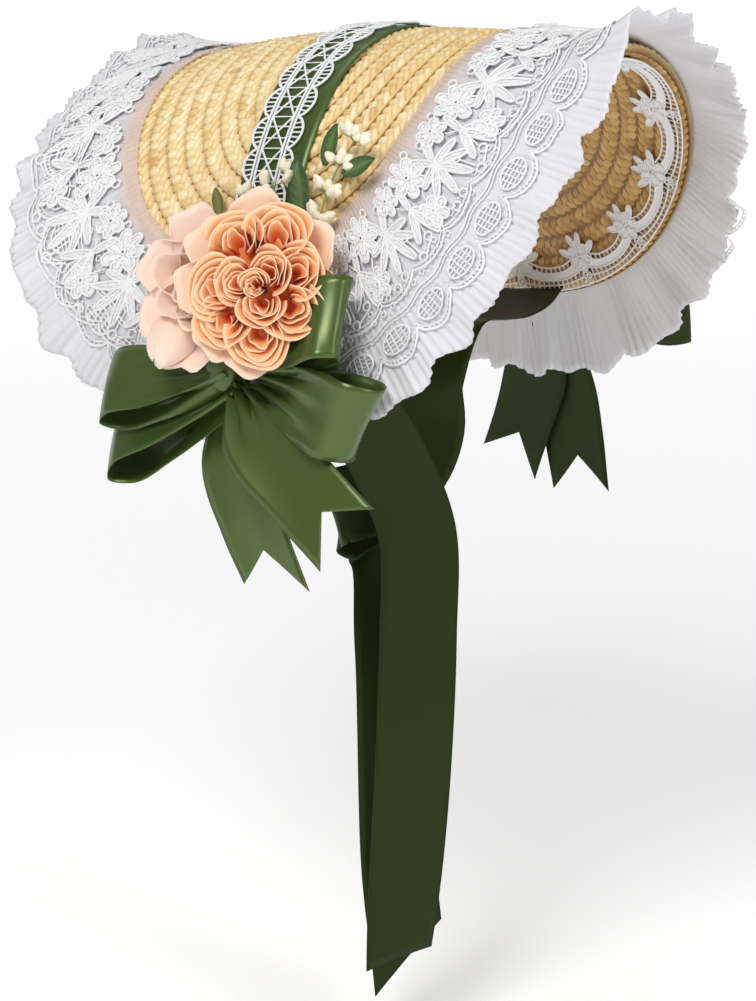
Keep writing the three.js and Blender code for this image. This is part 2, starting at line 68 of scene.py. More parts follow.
arch_run = np.linspace(0.0, 0.42, 841)
arch_slope = np.pi / 2 * np.tanh(arch_run / ARCH_BEND)
arch_middle = (arch_slope[1:] + arch_slope[:-1]) / 2
arch_across = np.append(0.0, np.cumsum(np.cos(arch_middle)) * arch_run[1])
arch_down = np.append(0.0, np.cumsum(np.sin(arch_middle)) * arch_run[1])


def saddle(u, v):
    """The arched plate, u from ear to ear and v from face (minus) to nape: the slope turns upright as the
    tanh of u over the bend, and both ends spread, lift and drop with the square of v."""
    front = v < 0
    square = (v / np.where(front, STRAW_FRONT, STRAW_BACK)) ** 2
    across = np.interp(np.abs(u), arch_run, arch_across)
    across = across * (1 + np.where(front, FACE_SPREAD, NAPE_SPREAD) * square)
    down = np.interp(np.abs(u), arch_run, arch_down) * (1 - np.where(front, FACE_SIDE_LIFT, 0.0) * square)
    z = -down - np.where(front, FACE_RIDGE_DROP, NAPE_RIDGE_DROP) * square
    cos, sin = np.cos(ARCH_PITCH), np.sin(ARCH_PITCH)
    return np.stack([np.sign(u) * across, v * cos + z * sin, z * cos - v * sin], axis=-1)


def unit(vectors):
    """Each vector divided by its own length."""
    return vectors / np.linalg.norm(vectors, axis=-1, keepdims=True)


def run_along(line):
    """Length along a line of points, from zero at its first one."""
    return np.append(0.0, np.cumsum(np.linalg.norm(np.diff(line, axis=0), axis=1)))


def on_saddle(u, v, height):
    """The plate's point moved by the height along the cross product of its two directions."""
    step = 1e-3
    across = saddle(u + step, v) - saddle(u - step, v)
    back = saddle(u, v + step) - saddle(u, v - step)
    return saddle(u, v) + np.asarray(height)[..., None] * unit(np.cross(across, back))


def rim(angle, out):
    """Flat (u, v) on a superellipse through the straw's edge, moved out along its normal. The normal's v
    comes third."""
    c, s = np.cos(angle), np.sin(angle)
    depth = np.where(s < 0, STRAW_FRONT, STRAW_BACK)
    power = 2 / STRAW_SQUARENESS
    normal_u = np.sign(c) * np.abs(c) ** (2 - power) / STRAW_HALF_LENGTH
    normal_v = np.sign(s) * np.abs(s) ** (2 - power) / depth
    size = np.hypot(normal_u, normal_v)
    u = STRAW_HALF_LENGTH * np.sign(c) * np.abs(c) ** power + out * normal_u / size
    v = depth * np.sign(s) * np.abs(s) ** power + out * normal_v / size
    return u, v, normal_v / size


def plait_point(angle, share, height):
    """A point on the ring at that share of the way from the middle seam to the rim."""
    u, v, _ = rim(angle, 0.0)
    return on_saddle(u * (1 - STRAW_SEAM * (1 - share) / STRAW_HALF_LENGTH), v * share, height)


def grid_faces(count, rows, columns, round_rows=False, round_columns=False):
    """Quads of `count` grids of rows x columns points laid one after another, wrapped round where asked."""
    i, j = np.meshgrid(
        np.arange(rows - 1 + round_rows), np.arange(columns - 1 + round_columns), indexing="ij"
    )
    i2, j2 = (i + 1) % rows, (j + 1) % columns
    quad = np.stack([i * columns + j, i2 * columns + j, i2 * columns + j2, i * columns + j2], -1)
    start = np.arange(count) * rows * columns
    return (quad.reshape(1, -1, 4) + start[:, None, None]).reshape(-1, 4)


def join(*parts):
    """Several (points, faces) pairs as one pair."""
    starts = np.cumsum([0] + [len(points) for points, _ in parts])
    faces = np.concatenate([face + start for (_, face), start in zip(parts, starts)])
    return np.concatenate([points for points, _ in parts]), faces


def add_piece(name, points, faces, material, nodes, attributes=None, thickness=0.0):
    """A smooth mesh from arrays of points and quads, riding on the root body in place of those CAD nodes."""
    mesh = bpy.data.meshes.new(name)
    mesh.vertices.add(len(points))
    mesh.vertices.foreach_set("co", np.ascontiguousarray(points, np.float32).ravel())
    mesh.loops.add(faces.size)
    mesh.loops.foreach_set("vertex_index", np.ascontiguousarray(faces, np.int32).ravel())
    mesh.polygons.add(len(faces))
    mesh.polygons.foreach_set("loop_start", np.arange(0, faces.size, 4, dtype=np.int32))
    for key, values in (attributes or {}).items():
        kind, field = ("FLOAT", "value") if values.ndim == 1 else ("FLOAT_VECTOR", "vector")
        layer = mesh.attributes.new(key, kind, "POINT")
        layer.data.foreach_set(field, np.ascontiguousarray(values, np.float32).ravel())
    mesh.update(calc_edges=True)
    mesh.validate()
    mesh.polygons.foreach_set("use_smooth", np.ones(len(mesh.polygons), bool))
    mesh.materials.append(material)
    piece = bpy.data.objects.new(name, mesh)
    bpy.context.scene.collection.objects.link(piece)
    if thickness:
        solid = piece.modifiers.new("thickness", "SOLIDIFY")
        solid.thickness = thickness
        solid.offset = 0.0
    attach(piece, "root")
    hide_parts(*nodes)
    return piece


def set_sockets(node, sockets):
    """Each named constant set on the node's own socket."""
    for key, value in sockets.items():
        node.inputs[key.replace("_", " ")].default_value = value


def principled(name, colour, **sockets):
    """A principled material with each named constant set on its own socket."""
    material = bpy.data.materials.new(name)
    material.use_nodes = True
    set_sockets(material.node_tree.nodes["Principled BSDF"], {"Base Color": (*colour, 1.0), **sockets})
    return material


def shader_input(material, name):
    """That socket of the material's principled shader."""
    return material.node_tree.nodes["Principled BSDF"].inputs[name]


def add_node(material, kind, **sockets):
    """A shader node of that kind with each named constant set on its own socket."""
    node = material.node_tree.nodes.new("ShaderNode" + kind)
    set_sockets(node, sockets)
    return node


def connect(material, *pairs):
    """A link from each pair's output to its input."""
    for output, entry in pairs:
        material.node_tree.links.new(output, entry)


def read_attribute(material, name, kind="Fac"):
    """The value or vector of that name stored on the mesh's points."""
    node = add_node(material, "Attribute")
    node.attribute_name = name
    return node.outputs[kind]


def stretched(material, name, scale):
    """The vector of that name on the mesh's points, scaled along each axis."""
    mapping = add_node(material, "Mapping", Scale=scale)
    connect(material, (read_attribute(material, name, "Vector"), mapping.inputs["Vector"]))
    return mapping.outputs["Vector"]


def add_noise(material, vector, scale, detail=2.0):
    """Smooth noise over a vector, with that many octaves of detail."""
    noise = add_node(material, "TexNoise", Scale=scale, Detail=detail)
    connect(material, (vector, noise.inputs["Vector"]))
    return noise.outputs["Fac"]


def streaked(material, name, noise, share):
    """The value of that name on the mesh's points plus a share of the noise."""
    total = add_node(material, "Math")
    total.operation = "MULTIPLY_ADD"
    total.inputs[1].default_value = share
    connect(material, (noise, total.inputs[0]), (read_attribute(material, name), total.inputs[2]))
    return total.outputs["Value"]


def colour_by(material, value, *stops):
    """Base colour from a ramp through stops of place and colour, read at the value."""
    ramp = add_node(material, "ValToRGB")
    elements = ramp.color_ramp.elements
    for element, (place, colour) in zip(elements, (stops[0], stops[-1])):
        element.position = place
        element.color = (*colour, 1)
    for place, colour in stops[1:-1]:
        elements.new(place).color = (*colour, 1)
    connect(material, (value, ramp.inputs["Fac"]))
    connect(material, (ramp.outputs["Color"], shader_input(material, "Base Color")))


def bump_by(material, height, strength, distance):
    """The shader's normal tilted by the slope of a height."""
    bump = add_node(material, "Bump", Strength=strength, Distance=distance)
    connect(material, (height, bump.inputs["Height"]))
    connect(material, (bump.outputs["Normal"], shader_input(material, "Normal")))


rng = np.random.default_rng(11)
rim_angle = np.linspace(0.0, 2 * np.pi, 2881)


def plait_knuckles(cells, inside):
    """Knuckles of straw in two leaning columns along every row: (s, t) from -1 to 1 along and across the
    strand, bulging as one minus the square across and dipping with the fourth power along."""
    side = np.linspace(-1, 1, cells + 1)
    s, t = np.meshgrid(side, side, indexing="ij")
    cos, sin = np.cos(PLAIT_LEAN)[:, None, None], np.sin(PLAIT_LEAN)[:, None, None]
    ahead, aside = KNUCKLE_SIZE[0] * s, KNUCKLE_SIZE[1] * t
    across = (PLAIT_COLUMN[:, None, None] + (ahead * sin + aside * cos) / PLAIT_ROW_WIDTH)[None]
    across = np.clip(across, 0.015, 0.985)
    rise = (KNUCKLE_RISE * (1 - t**2) * (1 - 0.45 * s**4) - KNUCKLE_DIP * s**4)[None, None]
    points, strands, tones_with_painted_shade = [], [], []
    for row in range(PLAIT_ROWS):
        run = run_along(plait_point(rim_angle, (row + 0.5) / PLAIT_ROWS, 0.0))
        count = int(round(run[-1] / PLAIT_PITCH))
        place = (np.arange(count)[:, None] + PLAIT_PHASE + 0.37 * row) * run[-1] / count
        along = place[..., None, None] + (ahead * cos - aside * sin)[None]
        bump = rise + rng.normal(0, 0.00012, (count, 2, 1, 1))
        base = STRAW_WALL + PLAIT_LAP * across - 0.0010 * (2 * across - 1) ** 4
        height = -0.0002 - bump if inside else base + bump
        angle = np.interp(along % run[-1], run, rim_angle)
        points.append(plait_point(angle, np.broadcast_to((row + across) / PLAIT_ROWS, angle.shape), height))
        pair = np.broadcast_to(np.stack([s, t], -1), (*angle.shape, 2))
        seed = np.broadcast_to(9 * rng.random((count, 2, 1, 1)), angle.shape)
        strands.append(np.concatenate([pair, seed[..., None]], -1).reshape(-1, 3))
        # Each knuckle's tone: a random tone per knuckle, plus painted shade that darkens its ends and sides
        # where it dips under its neighbours.
        shade = 0.80 + 0.09 * rng.standard_normal((count, 2, 1, 1)) - 0.16 * s**4 - 0.10 * t**4
        shade = np.clip(shade, 0.35, 1.0) * (INSIDE_PAINTED_SHADE if inside else 1.0)
        tones_with_painted_shade.append(np.broadcast_to(shade, angle.shape).ravel())
    points = np.concatenate([p.reshape(-1, 3) for p in points])
    faces = grid_faces(len(points) // (cells + 1) ** 2, cells + 1, cells + 1)
    return points, faces if inside else faces[:, ::-1], np.concatenate(strands), np.concatenate(tones_with_painted_shade)


outer_points, outer_faces, outer_strands, outer_tones_with_painted_shade = plait_knuckles(4, False)
inner_points, inner_faces, inner_strands, inner_tones_with_painted_shade = plait_knuckles(2, True)
row_edge = np.arange(PLAIT_ROWS + 1) / PLAIT_ROWS
base_share = np.concatenate([np.repeat(row_edge, 2)[1:-1], [1.0], row_edge[::-2]])
base_height = np.concatenate(
    [STRAW_WALL - 0.0004 + np.tile([0.0, PLAIT_LAP], PLAIT_ROWS), [0.0], np.zeros(len(row_edge[::-2]))]
)
base_angle = np.linspace(0, 2 * np.pi, RING_STEPS, endpoint=False)
base_points = plait_point(
    *np.broadcast_arrays(base_angle[:, None], base_share[None], base_height[None])
).reshape(-1, 3)
base_faces = grid_faces(1, RING_STEPS, len(base_share), round_rows=True)[:, ::-1]
# The base sheet shows in the slits between the rows: its low edges are painted dark as the shadow under each
# row's lap, and its raised edges keep near the straw's own tone.
base_tones_with_painted_shadow = np.tile(np.where(base_height > STRAW_WALL, 0.72, 0.22), RING_STEPS)
straw_points, straw_faces = join(
    (outer_points, outer_faces), (inner_points, inner_faces), (base_points, base_faces)
)
straw = principled("straw plait", (0.8, 0.55, 0.22), Roughness=0.38, Coat_Weight=0.15)
grain = add_noise(straw, stretched(straw, "strand", (0.7, 7.0, 1.0)), 1.2, 3.0)
# The ramp's dark brown low end is painted shade, for the slits, the knuckles' ends and the inside of the
# crown; the upper stops are the straw's own colour.
colour_by(
    straw, streaked(straw, "tone_and_painted_shade", grain, 0.22), (0.10, (0.10, 0.045, 0.012)), (0.30, (0.40, 0.20, 0.05)),
    (0.50, (0.68, 0.42, 0.14)), (0.72, (0.86, 0.64, 0.30)), (0.95, (0.95, 0.80, 0.50)),
)
bump_by(straw, grain, 0.25, 0.0003)
add_piece(
    "straw_crown_plait", straw_points, straw_faces, straw, ["straw_crown"],
    attributes={
        "tone_and_painted_shade": np.concatenate([outer_tones_with_painted_shade, inner_tones_with_painted_shade, base_tones_with_painted_shadow]) - TINT_DARKER,
        "strand": np.concatenate([outer_strands, inner_strands, 40 * base_points]),
    },
)

# Pleated frill: one strip of sheer white chiffon, crimped in fine pleats and gathered on to the straw behind
# the lace. It stands out past the rim all round; its heading shows as a blush band against the straw.
FRILL_HEADING = 0.008
FRILL_PITCH = 0.0034
FRILL_HEIGHT = 0.0054
FRILL_REACH_EARS = 0.046
FRILL_REACH_FACE = 0.033
FRILL_REACH_NAPE = 0.031
TRIM_COVER = 0.0415
TRIM_COVER_EASE = 0.0145
FLARE_FACE = np.radians(265.0)
DROOP_FACE = np.radians(304.0)
FLARE_NAPE = np.radians(88.0)
CHIFFON_THICKNESS = 0.0003

rim_u, rim_v, _ = rim(rim_angle, 0.0)
rim_run = run_along(saddle(rim_u, rim_v))
RIM_LENGTH = rim_run[-1]


def rim_at(run):
    """The outline's angle at that length along the straw's edge."""
    return np.interp(np.mod(run, RIM_LENGTH), rim_run, rim_angle)


def trim_widths(run):
    """How far the trimming covers the straw and how far the frill stands out: both ease between face, nape
    and ears with the outline's own normal."""
    _, _, turn = rim(rim_at(run), 0.0)
    end_reach = np.where(turn < 0, FRILL_REACH_FACE, FRILL_REACH_NAPE)
    reach = FRILL_REACH_EARS + (end_reach - FRILL_REACH_EARS) * turn**2
    return TRIM_COVER - TRIM_COVER_EASE * turn, reach


def frill_lift(run, out):
    """Height of the frill over the plate: flat on the straw, then a sum of waves that grow to the free edge,
    with two flares and a droop that are bell curves of the outline's angle."""
    _, reach = trim_widths(run)
    free = np.clip((out - 0.002) / (reach - 0.002), 0.0, 1.3)
    stand = np.clip((out + 0.030) / (reach + 0.030), 0.0, 1.3)
    turn = 2 * np.pi * run / RIM_LENGTH
    wave = 0.0020 * np.sin(44 * turn) + 0.0017 * np.sin(29 * turn + 1.3)
    wave = wave + 0.0013 * np.sin(67 * turn + 0.4) + 0.0008 * np.sin(97 * turn + 2.0)
    angle = rim_at(run)
    flare = 0.026 * np.exp(-(((angle - FLARE_FACE) / 0.12) ** 2))
    flare = flare + 0.020 * np.exp(-(((angle - FLARE_NAPE) / 0.10) ** 2))
    droop = 0.012 * np.exp(-(((angle - DROOP_FACE) / 0.15) ** 2))
    return FRILL_HEIGHT + free**1.3 * wave * (1 + 22 * flare) + stand**1.5 * flare - free * droop


def on_trim(run, out, height):
    """A point at that length along the rim, that far out from it and that height over the plate."""
    u, v, _ = rim(rim_at(run), out)
    return on_saddle(u, v, height)


pleats = int(RIM_LENGTH / FRILL_PITCH)
frill_run = (np.arange(4 * pleats) / (4 * pleats) * RIM_LENGTH)[:, None]
frill_cover, frill_reach = trim_widths(frill_run)
frill_turn = 2 * np.pi * frill_run / RIM_LENGTH
frill_edge = frill_reach * (1 + 0.05 * np.sin(53 * frill_turn) + 0.04 * np.sin(31 * frill_turn + 1))
over_share = np.linspace(1.0, 0.0, 7)[:-1]
free_share = np.linspace(0.0, 1.0, 12)
frill_out = np.concatenate(
    [-(frill_cover + FRILL_HEADING) * over_share, 0.002 + (frill_edge - 0.002) * free_share], axis=1
)
free = np.clip(frill_out / frill_edge, 0, 1)
crimp = np.tile([0.0, 1.0, 0.0, -1.0], pleats)[:, None] * (0.75 + 0.25 * np.sin(37 * frill_turn + 0.7))
crimp_depth = 0.0004 + 0.0009 * free + 0.0006 * np.clip(-frill_out / frill_cover - 0.9, 0, 1)
veil = np.clip((frill_out + frill_cover + 0.001) / 0.007, 0, 1)
frill_height = frill_lift(frill_run, frill_out) + crimp * crimp_depth
frill_points = on_trim(np.broadcast_to(frill_run, frill_out.shape), frill_out, frill_height).reshape(-1, 3)
frill_faces = grid_faces(1, *frill_out.shape, round_rows=True)[:, ::-1]
sheer = principled("sheer chiffon", (0.88, 0.87, 0.89), Roughness=0.62, Sheen_Weight=0.15)
veil_share = read_attribute(sheer, "veil")
cover = add_node(sheer, "MapRange", To_Min=0.50, To_Max=0.90)
connect(sheer, (veil_share, cover.inputs["Value"]), (cover.outputs["Result"], shader_input(sheer, "Alpha")))
colour_by(sheer, veil_share, (0.0, (0.95, 0.78, 0.70)), (0.8, (0.81, 0.80, 0.83)))
bump_by(sheer, add_noise(sheer, add_node(sheer, "TexCoord").outputs["Object"], 900.0), 0.10, 0.0003)
frill = add_piece(
    "frill_pleated", frill_points, frill_faces, sheer, ["frill"],
    attributes={"veil": veil.ravel()}, thickness=CHIFFON_THICKNESS,
)

# Corded guipure: heavy white embroidery with no ground, flowers and sprays of lance leaves joined by bars.
# It is tacked over the frill's heading and stands a little proud of it, its leaves pointing to the free edge.
GUIPURE_REPEATS = 22
GUIPURE_LIFT = 0.0015
MM = 0.001


def flat_line(x, y):
    """Flat points from their two coordinates, either of which may be one value for all."""
    return np.stack(np.broadcast_arrays(x, y), -1)


def lance(count, tip):
    """Outline of a petal or leaf of unit length and width: a half width of sine to the power of the tip, out
    along one side and back along the other."""
    turn = np.linspace(0, 2 * np.pi, count, endpoint=False)
    return flat_line((1 - np.cos(turn)) / 2, np.sign(np.sin(turn)) * np.abs(np.sin(turn)) ** tip / 2)


def lance_rows(rows):
    """Roots, angles, lengths and widths from rows of root x, root y, angle, length and width."""
    rows = np.array(rows, float)
    return rows[:, :2] * MM, rows[:, 2], rows[:, 3] * MM, rows[:, 4] * MM


def spread(shape, roots, angles, lengths, widths):
    """The flat shape scaled by length and width, turned by the angle and moved to the root, once per row."""
    roots, angles = np.asarray(roots, float), np.radians(np.asarray(angles, float))
    x = shape[None, :, 0] * np.asarray(lengths, float)[:, None]
    y = shape[None, :, 1] * np.asarray(widths, float)[:, None]
    c, s = np.cos(angles)[:, None], np.sin(angles)[:, None]
    return np.stack([x * c - y * s + roots[:, :1], x * s + y * c + roots[:, 1:]], -1)


def cords(paths, height, radius, closed):
    """Four-sided cords along flat paths: foot, sides and top of a lozenge about each point."""
    ahead = np.roll(paths, -1, 1) - np.roll(paths, 1, 1) if closed else np.gradient(paths, axis=1)
    side = np.stack([-ahead[..., 1], ahead[..., 0]], -1)
    side /= np.linalg.norm(side, axis=-1, keepdims=True) + 1e-9
    flat = paths[:, :, None] + radius * np.array([1.0, 0.0, -1.0, 0.0])[:, None] * side[:, :, None]
    rise = np.broadcast_to(height, paths.shape[:2])[..., None] + radius * np.array([0.0, -1.0, 0.0, 1.0])
    points = np.concatenate([flat, rise[..., None]], -1).reshape(-1, 3)
    return points, grid_faces(len(paths), paths.shape[1], 4, closed, True)


def bar_cords(bars, height, radius):
    """Straight cords of three points, each from one end of its bar to the other."""
    share = np.linspace(0, 1, 3)[:, None]
    return cords(bars[:, :1] + (bars[:, 1:] - bars[:, :1]) * share, height, radius, False)


def pads(roots, angles, lengths, widths, height, rise, tip):
    """Domed fillings of petals and leaves: a grid along and across each, highest on the middle line."""
    along, across = np.meshgrid(np.linspace(0.04, 0.96, 6), [-0.9, 0.0, 0.9], indexing="ij")
    shape = flat_line(along, across * np.sin(np.pi * along) ** tip / 2).reshape(-1, 2)
    flat = spread(shape, roots, angles, lengths, widths)
    lift = height + rise * (1 - np.abs(across).ravel() / 0.9)
    points = np.concatenate([flat, np.broadcast_to(lift, flat.shape[:2])[..., None]], -1)
    return points.reshape(-1, 3), grid_faces(len(flat), 6, 3)


def repeat(part, count, pitch):
    """The same piece of lace laid count times along x."""
    points, faces = part
    shift = np.arange(count)[:, None, None] * np.array([pitch, 0.0, 0.0])
    step = (np.arange(count) * len(points))[:, None, None]
    return (points[None] + shift).reshape(-1, 3), (faces[None] + step).reshape(-1, 4)


def rosette(centre, radius, petals, start):
    """Roots, angles, lengths and widths of petals set round a small ring."""
    angles = start + 360 * np.arange(petals) / petals
    turn = np.radians(angles)
    roots = np.asarray(centre) + 0.18 * radius * flat_line(np.cos(turn), np.sin(turn))
    wide = 1.9 * np.pi / petals * 0.62 * radius
    return roots, angles, np.full(petals, 0.82 * radius), np.full(petals, wide)


guipure_pitch = RIM_LENGTH / GUIPURE_REPEATS
leaves = lance_rows([
    # root x, root y, angle, length, width
    [25, 21, 14, 17, 3.84], [25, 21, 44, 20, 4.0], [25, 21, 75, 23, 4.16], [25, 21, 107, 22, 4.16],
    [25, 21, 138, 19, 4.0], [25, 21, 168, 15, 3.68], [25, 21, -58, 15, 3.84], [25, 21, -118, 15, 3.84],
    [47, 25, 48, 17, 3.68], [47, 25, 84, 20, 3.84], [47, 25, 124, 18, 3.84], [47, 25, -76, 14, 3.68],
])
middles = np.array([[9.5, 12.5], [39.5, 10.0], [4.5, 36.5]]) * MM
flowers = [
    rosette(middles[0], 0.0122, 7, 12), rosette(middles[1], 0.0088, 6, 40), rosette(middles[2], 0.0085, 6, 5),
]
rings = np.array([[17, 28], [33, 31], [43, 41], [20, 45], [34, 46], [13, 46], [30, 8], [48, 4], [20, 3]]) * MM
ring_turn = np.linspace(0, 2 * np.pi, 8, endpoint=False)
circle = flat_line(np.cos(ring_turn), np.sin(ring_turn))
bars = np.array([
    [[25, 21], [18, 27]], [[25, 21], [20, 16]], [[25, 21], [32, 15]], [[47, 25], [42, 18]],
    [[47, 25], [52, 31]], [[33, 33], [34, 44]], [[19, 30], [20, 43]], [[10, 44], [13, 45]],
    [[43, 39], [47, 25]], [[9, 24], [6, 29]], [[30, 10], [25, 21]], [[48, 6], [46, 13]],
    [[20, 5], [18, 10]], [[36, 46], [43, 43]],
]) * MM
scallop_x = np.linspace(0, 1, 25)
scallop_out = 0.0460 + 0.0045 * np.abs(np.sin(2 * np.pi * scallop_x)) ** 0.7
scallop = flat_line(scallop_x * guipure_pitch, scallop_out)[None]
vein = flat_line(np.linspace(0.1, 0.85, 4), 0.0)
guipure_tile = join(
    cords(spread(lance(14, 0.85), *leaves), 0.0008, 0.00075, True),
    cords(spread(vein, *leaves), 0.0008, 0.0004, False),
    pads(*leaves, 0.0003, 0.0004, 0.85),
    *[cords(spread(lance(12, 0.55), *flower), 0.0009, 0.0007, True) for flower in flowers],
    *[cords(spread(lance(10, 0.6), roots, angles, 0.66 * lengths, 0.5 * widths), 0.0012, 0.0005, True)
      for roots, angles, lengths, widths in flowers],
    *[pads(*flower, 0.0004, 0.0005, 0.55) for flower in flowers],
    cords(rings[:, None] + 0.0022 * circle[None], 0.0007, 0.0006, True),
    cords(middles[:, None] + 0.0014 * circle[None], 0.0016, 0.0008, True),
    bar_cords(bars, 0.0005, 0.0005),
    cords(scallop, 0.0006, 0.0006, False),
    cords(scallop - [0, 0.0022], 0.0005, 0.0004, False),
)
guipure_flat, guipure_faces = repeat(guipure_tile, GUIPURE_REPEATS, guipure_pitch)
guipure_run = guipure_flat[:, 0]
guipure_out = guipure_flat[:, 1] - trim_widths(guipure_run)[0]
guipure_wave = 0.0009 * np.sin(guipure_run / 0.0071) * np.cos(guipure_out / 0.011)
guipure_height = frill_lift(guipure_run, guipure_out) + GUIPURE_LIFT + guipure_wave + guipure_flat[:, 2]
guipure_points = on_trim(guipure_run, guipure_out, guipure_height)
lace = principled("white cotton cord", (0.88, 0.88, 0.89), Roughness=0.75, Sheen_Weight=0.25)
bump_by(lace, add_noise(lace, add_node(lace, "TexCoord").outputs["Object"], 1500.0), 0.35, 0.0004)
guipure = add_piece(
    "lace_guipure_band", guipure_points, guipure_faces[:, ::-1], lace, ["lace_guipure"]
)

# Net lace: a finer edging between the frill and the guipure, ovals filled with a lattice of bars on a light
# ground, scalloped at the free edge. It lies on the frill and shows beyond the guipure's leaves.
NET_REPEATS = 50
NET_LIFT = 0.0014
NET_INSET = 0.049
NET_OVAL = (0.0156, 0.0114)
NET_LATTICE = (0.0072, 0.0052)
NET_PAST_FRILL = np.radians(310.0)

net_pitch = RIM_LENGTH / NET_REPEATS
oval_turn = np.linspace(0, 2 * np.pi, 16, endpoint=False)
oval = 0.5 * flat_line(np.cos(oval_turn), np.sin(oval_turn))
net_centre = np.array([[0.5 * net_pitch, 0.0225]])
lattice_at = np.array([-0.6, -0.2, 0.2, 0.6])
lattice_half = np.sqrt(1 - lattice_at**2)
cross_bars = np.stack([flat_line(lattice_at, side * lattice_half) for side in (-1, 1)], 1)
long_bars = np.stack([flat_line(side * lattice_half, lattice_at) for side in (-1, 1)], 1)
net_bars = np.concatenate([cross_bars, long_bars]) * NET_LATTICE + net_centre
net_x = np.linspace(0, 1, 13)
net_edge = flat_line(net_x * net_pitch, 0.0255 + 0.0085 * np.sin(np.pi * net_x) ** 0.6)[None]
net_line = flat_line(net_x * net_pitch, 0.0125 + 0.001 * np.cos(2 * np.pi * net_x))[None]
net_spokes = np.stack([net_edge[0, 2:-2] - [0, 0.0026], net_edge[0, 2:-2] + [0, 0.0003]], 1)
net_dots = np.stack(np.meshgrid([0.2, 0.5, 0.8], [0.003, 0.0075]), -1).reshape(-1, 2) * [net_pitch, 1.0]
net_tile = join(
    cords(spread(oval, net_centre, [0], NET_OVAL[:1], NET_OVAL[1:]), 0.0003, 0.0006, True),
    bar_cords(net_spokes, 0.0002, 0.0004),
    bar_cords(net_bars, 0.0002, 0.0004),
    cords(net_edge, 0.0003, 0.0007, False),
    cords(net_edge - [0, 0.0022], 0.0003, 0.0004, False),
    cords(net_line, 0.0003, 0.0005, False),
    cords(net_line + [0, 0.0018], 0.0002, 0.0004, False),
    cords(net_dots[:, None] + 0.0014 * circle[None], 0.0002, 0.0004, True),
)
net_flat, net_faces = repeat(net_tile, NET_REPEATS, net_pitch)
net_run = net_flat[:, 0]
net_past = 0.022 * np.exp(-(((rim_at(net_run) - NET_PAST_FRILL) / 0.24) ** 2))
net_out = net_flat[:, 1] + trim_widths(net_run)[1] - NET_INSET + net_past
net_points = on_trim(net_run, net_out, frill_lift(net_run, net_out) + NET_LIFT + net_flat[:, 2])
net = add_piece("lace_net_edging", net_points, net_faces[:, ::-1], lace, ["lace_net"])

# Inner lace: a guipure edging sewn inside the straw along its rim, arcs with two rows of ladder holes that
# meet at small flowers.
INNER_REPEATS = 23
INNER_HEIGHT = -0.0030

inner_pitch = RIM_LENGTH / INNER_REPEATS
arc_x = np.linspace(0, 1, 29)
arc_sag = 0.0080 * (1 - np.sin(np.pi * arc_x)) ** 1.3
arc_level = np.array([0.0008, 0.0036, 0.0062, 0.0104, 0.0136])
arc_follow = np.array([0.0, 0.3, 0.6, 0.9, 1.0])
arcs = flat_line(arc_x * inner_pitch, arc_level[:, None] + arc_follow[:, None] * arc_sag)
ladder = np.concatenate([
    np.stack([arcs[low, 1:-1:2], arcs[high, 1:-1:2]], 1) for low, high in ((0, 1), (1, 2), (3, 4))
])
band = np.stack([arcs[2], arcs[3]], 1)
band_points = np.concatenate([band, np.full((29, 2, 1), 0.0002)], -1).reshape(-1, 3)
blossom = rosette((0.0, 0.0170), 0.0092, 6, 30)
blossom_low = rosette((0.0, 0.0040), 0.0042, 5, 0)
sprig = lance_rows([[1, 22, 62, 9, 4.4], [-1, 22, 118, 9, 4.4], [5, 18, 24, 11, 4], [-5, 18, 156, 11, 4]])
inner_tile = join(
    cords(arcs, 0.0003, 0.00055, False),
    cords(ladder, 0.0002, 0.00045, False),
    (band_points, grid_faces(1, 29, 2)),
    cords(spread(lance(10, 0.6), *blossom), 0.0006, 0.0005, True),
    pads(*blossom, 0.0003, 0.0003, 0.6),
    cords(spread(lance(8, 0.6), *blossom_low), 0.0006, 0.0004, True),
    cords(spread(lance(10, 1.1), *sprig), 0.0005, 0.0005, True),
    pads(*sprig, 0.0003, 0.0003, 1.1),
)
edging_flat, edging_faces = repeat(inner_tile, INNER_REPEATS, inner_pitch)
edging_points = on_trim(edging_flat[:, 0], -0.001 - edging_flat[:, 1], INNER_HEIGHT - edging_flat[:, 2])
edging = add_piece(
    "lace_inner_edging", edging_points, edging_faces[:, ::-1], lace, ["lace_inner"]
)

# Crown ribbon: a length of green satin ribbon with a bright and a dull side, the dull one also painted darker
# as shade. It is laid over the crown from ear to ear, bright side out, and caught under the bows.
RIBBON_WIDTH = 0.040
SATIN_THICKNESS = 0.0004
CROWN_HALF_LENGTH = 0.158
CROWN_RIBBON_HEIGHT = 0.0050


def ribbon_cloth(name, colour, roughness, specular):
    """Ribbon with fine threads along its length: noise stretched along the weave, read as a slight bump."""
    material = principled(
        name, colour, Roughness=roughness, Specular_IOR_Level=specular, Specular_Tint=(0.82, 1.0, 0.52, 1)
    )
    threads = add_noise(material, stretched(material, "weave", (1400.0, 60.0, 1.0)), 1.0)
    bump_by(material, threads, 0.08, 0.0004)
    return material


satin = ribbon_cloth("green satin", (0.047, 0.083, 0.016), 0.33, 0.90)
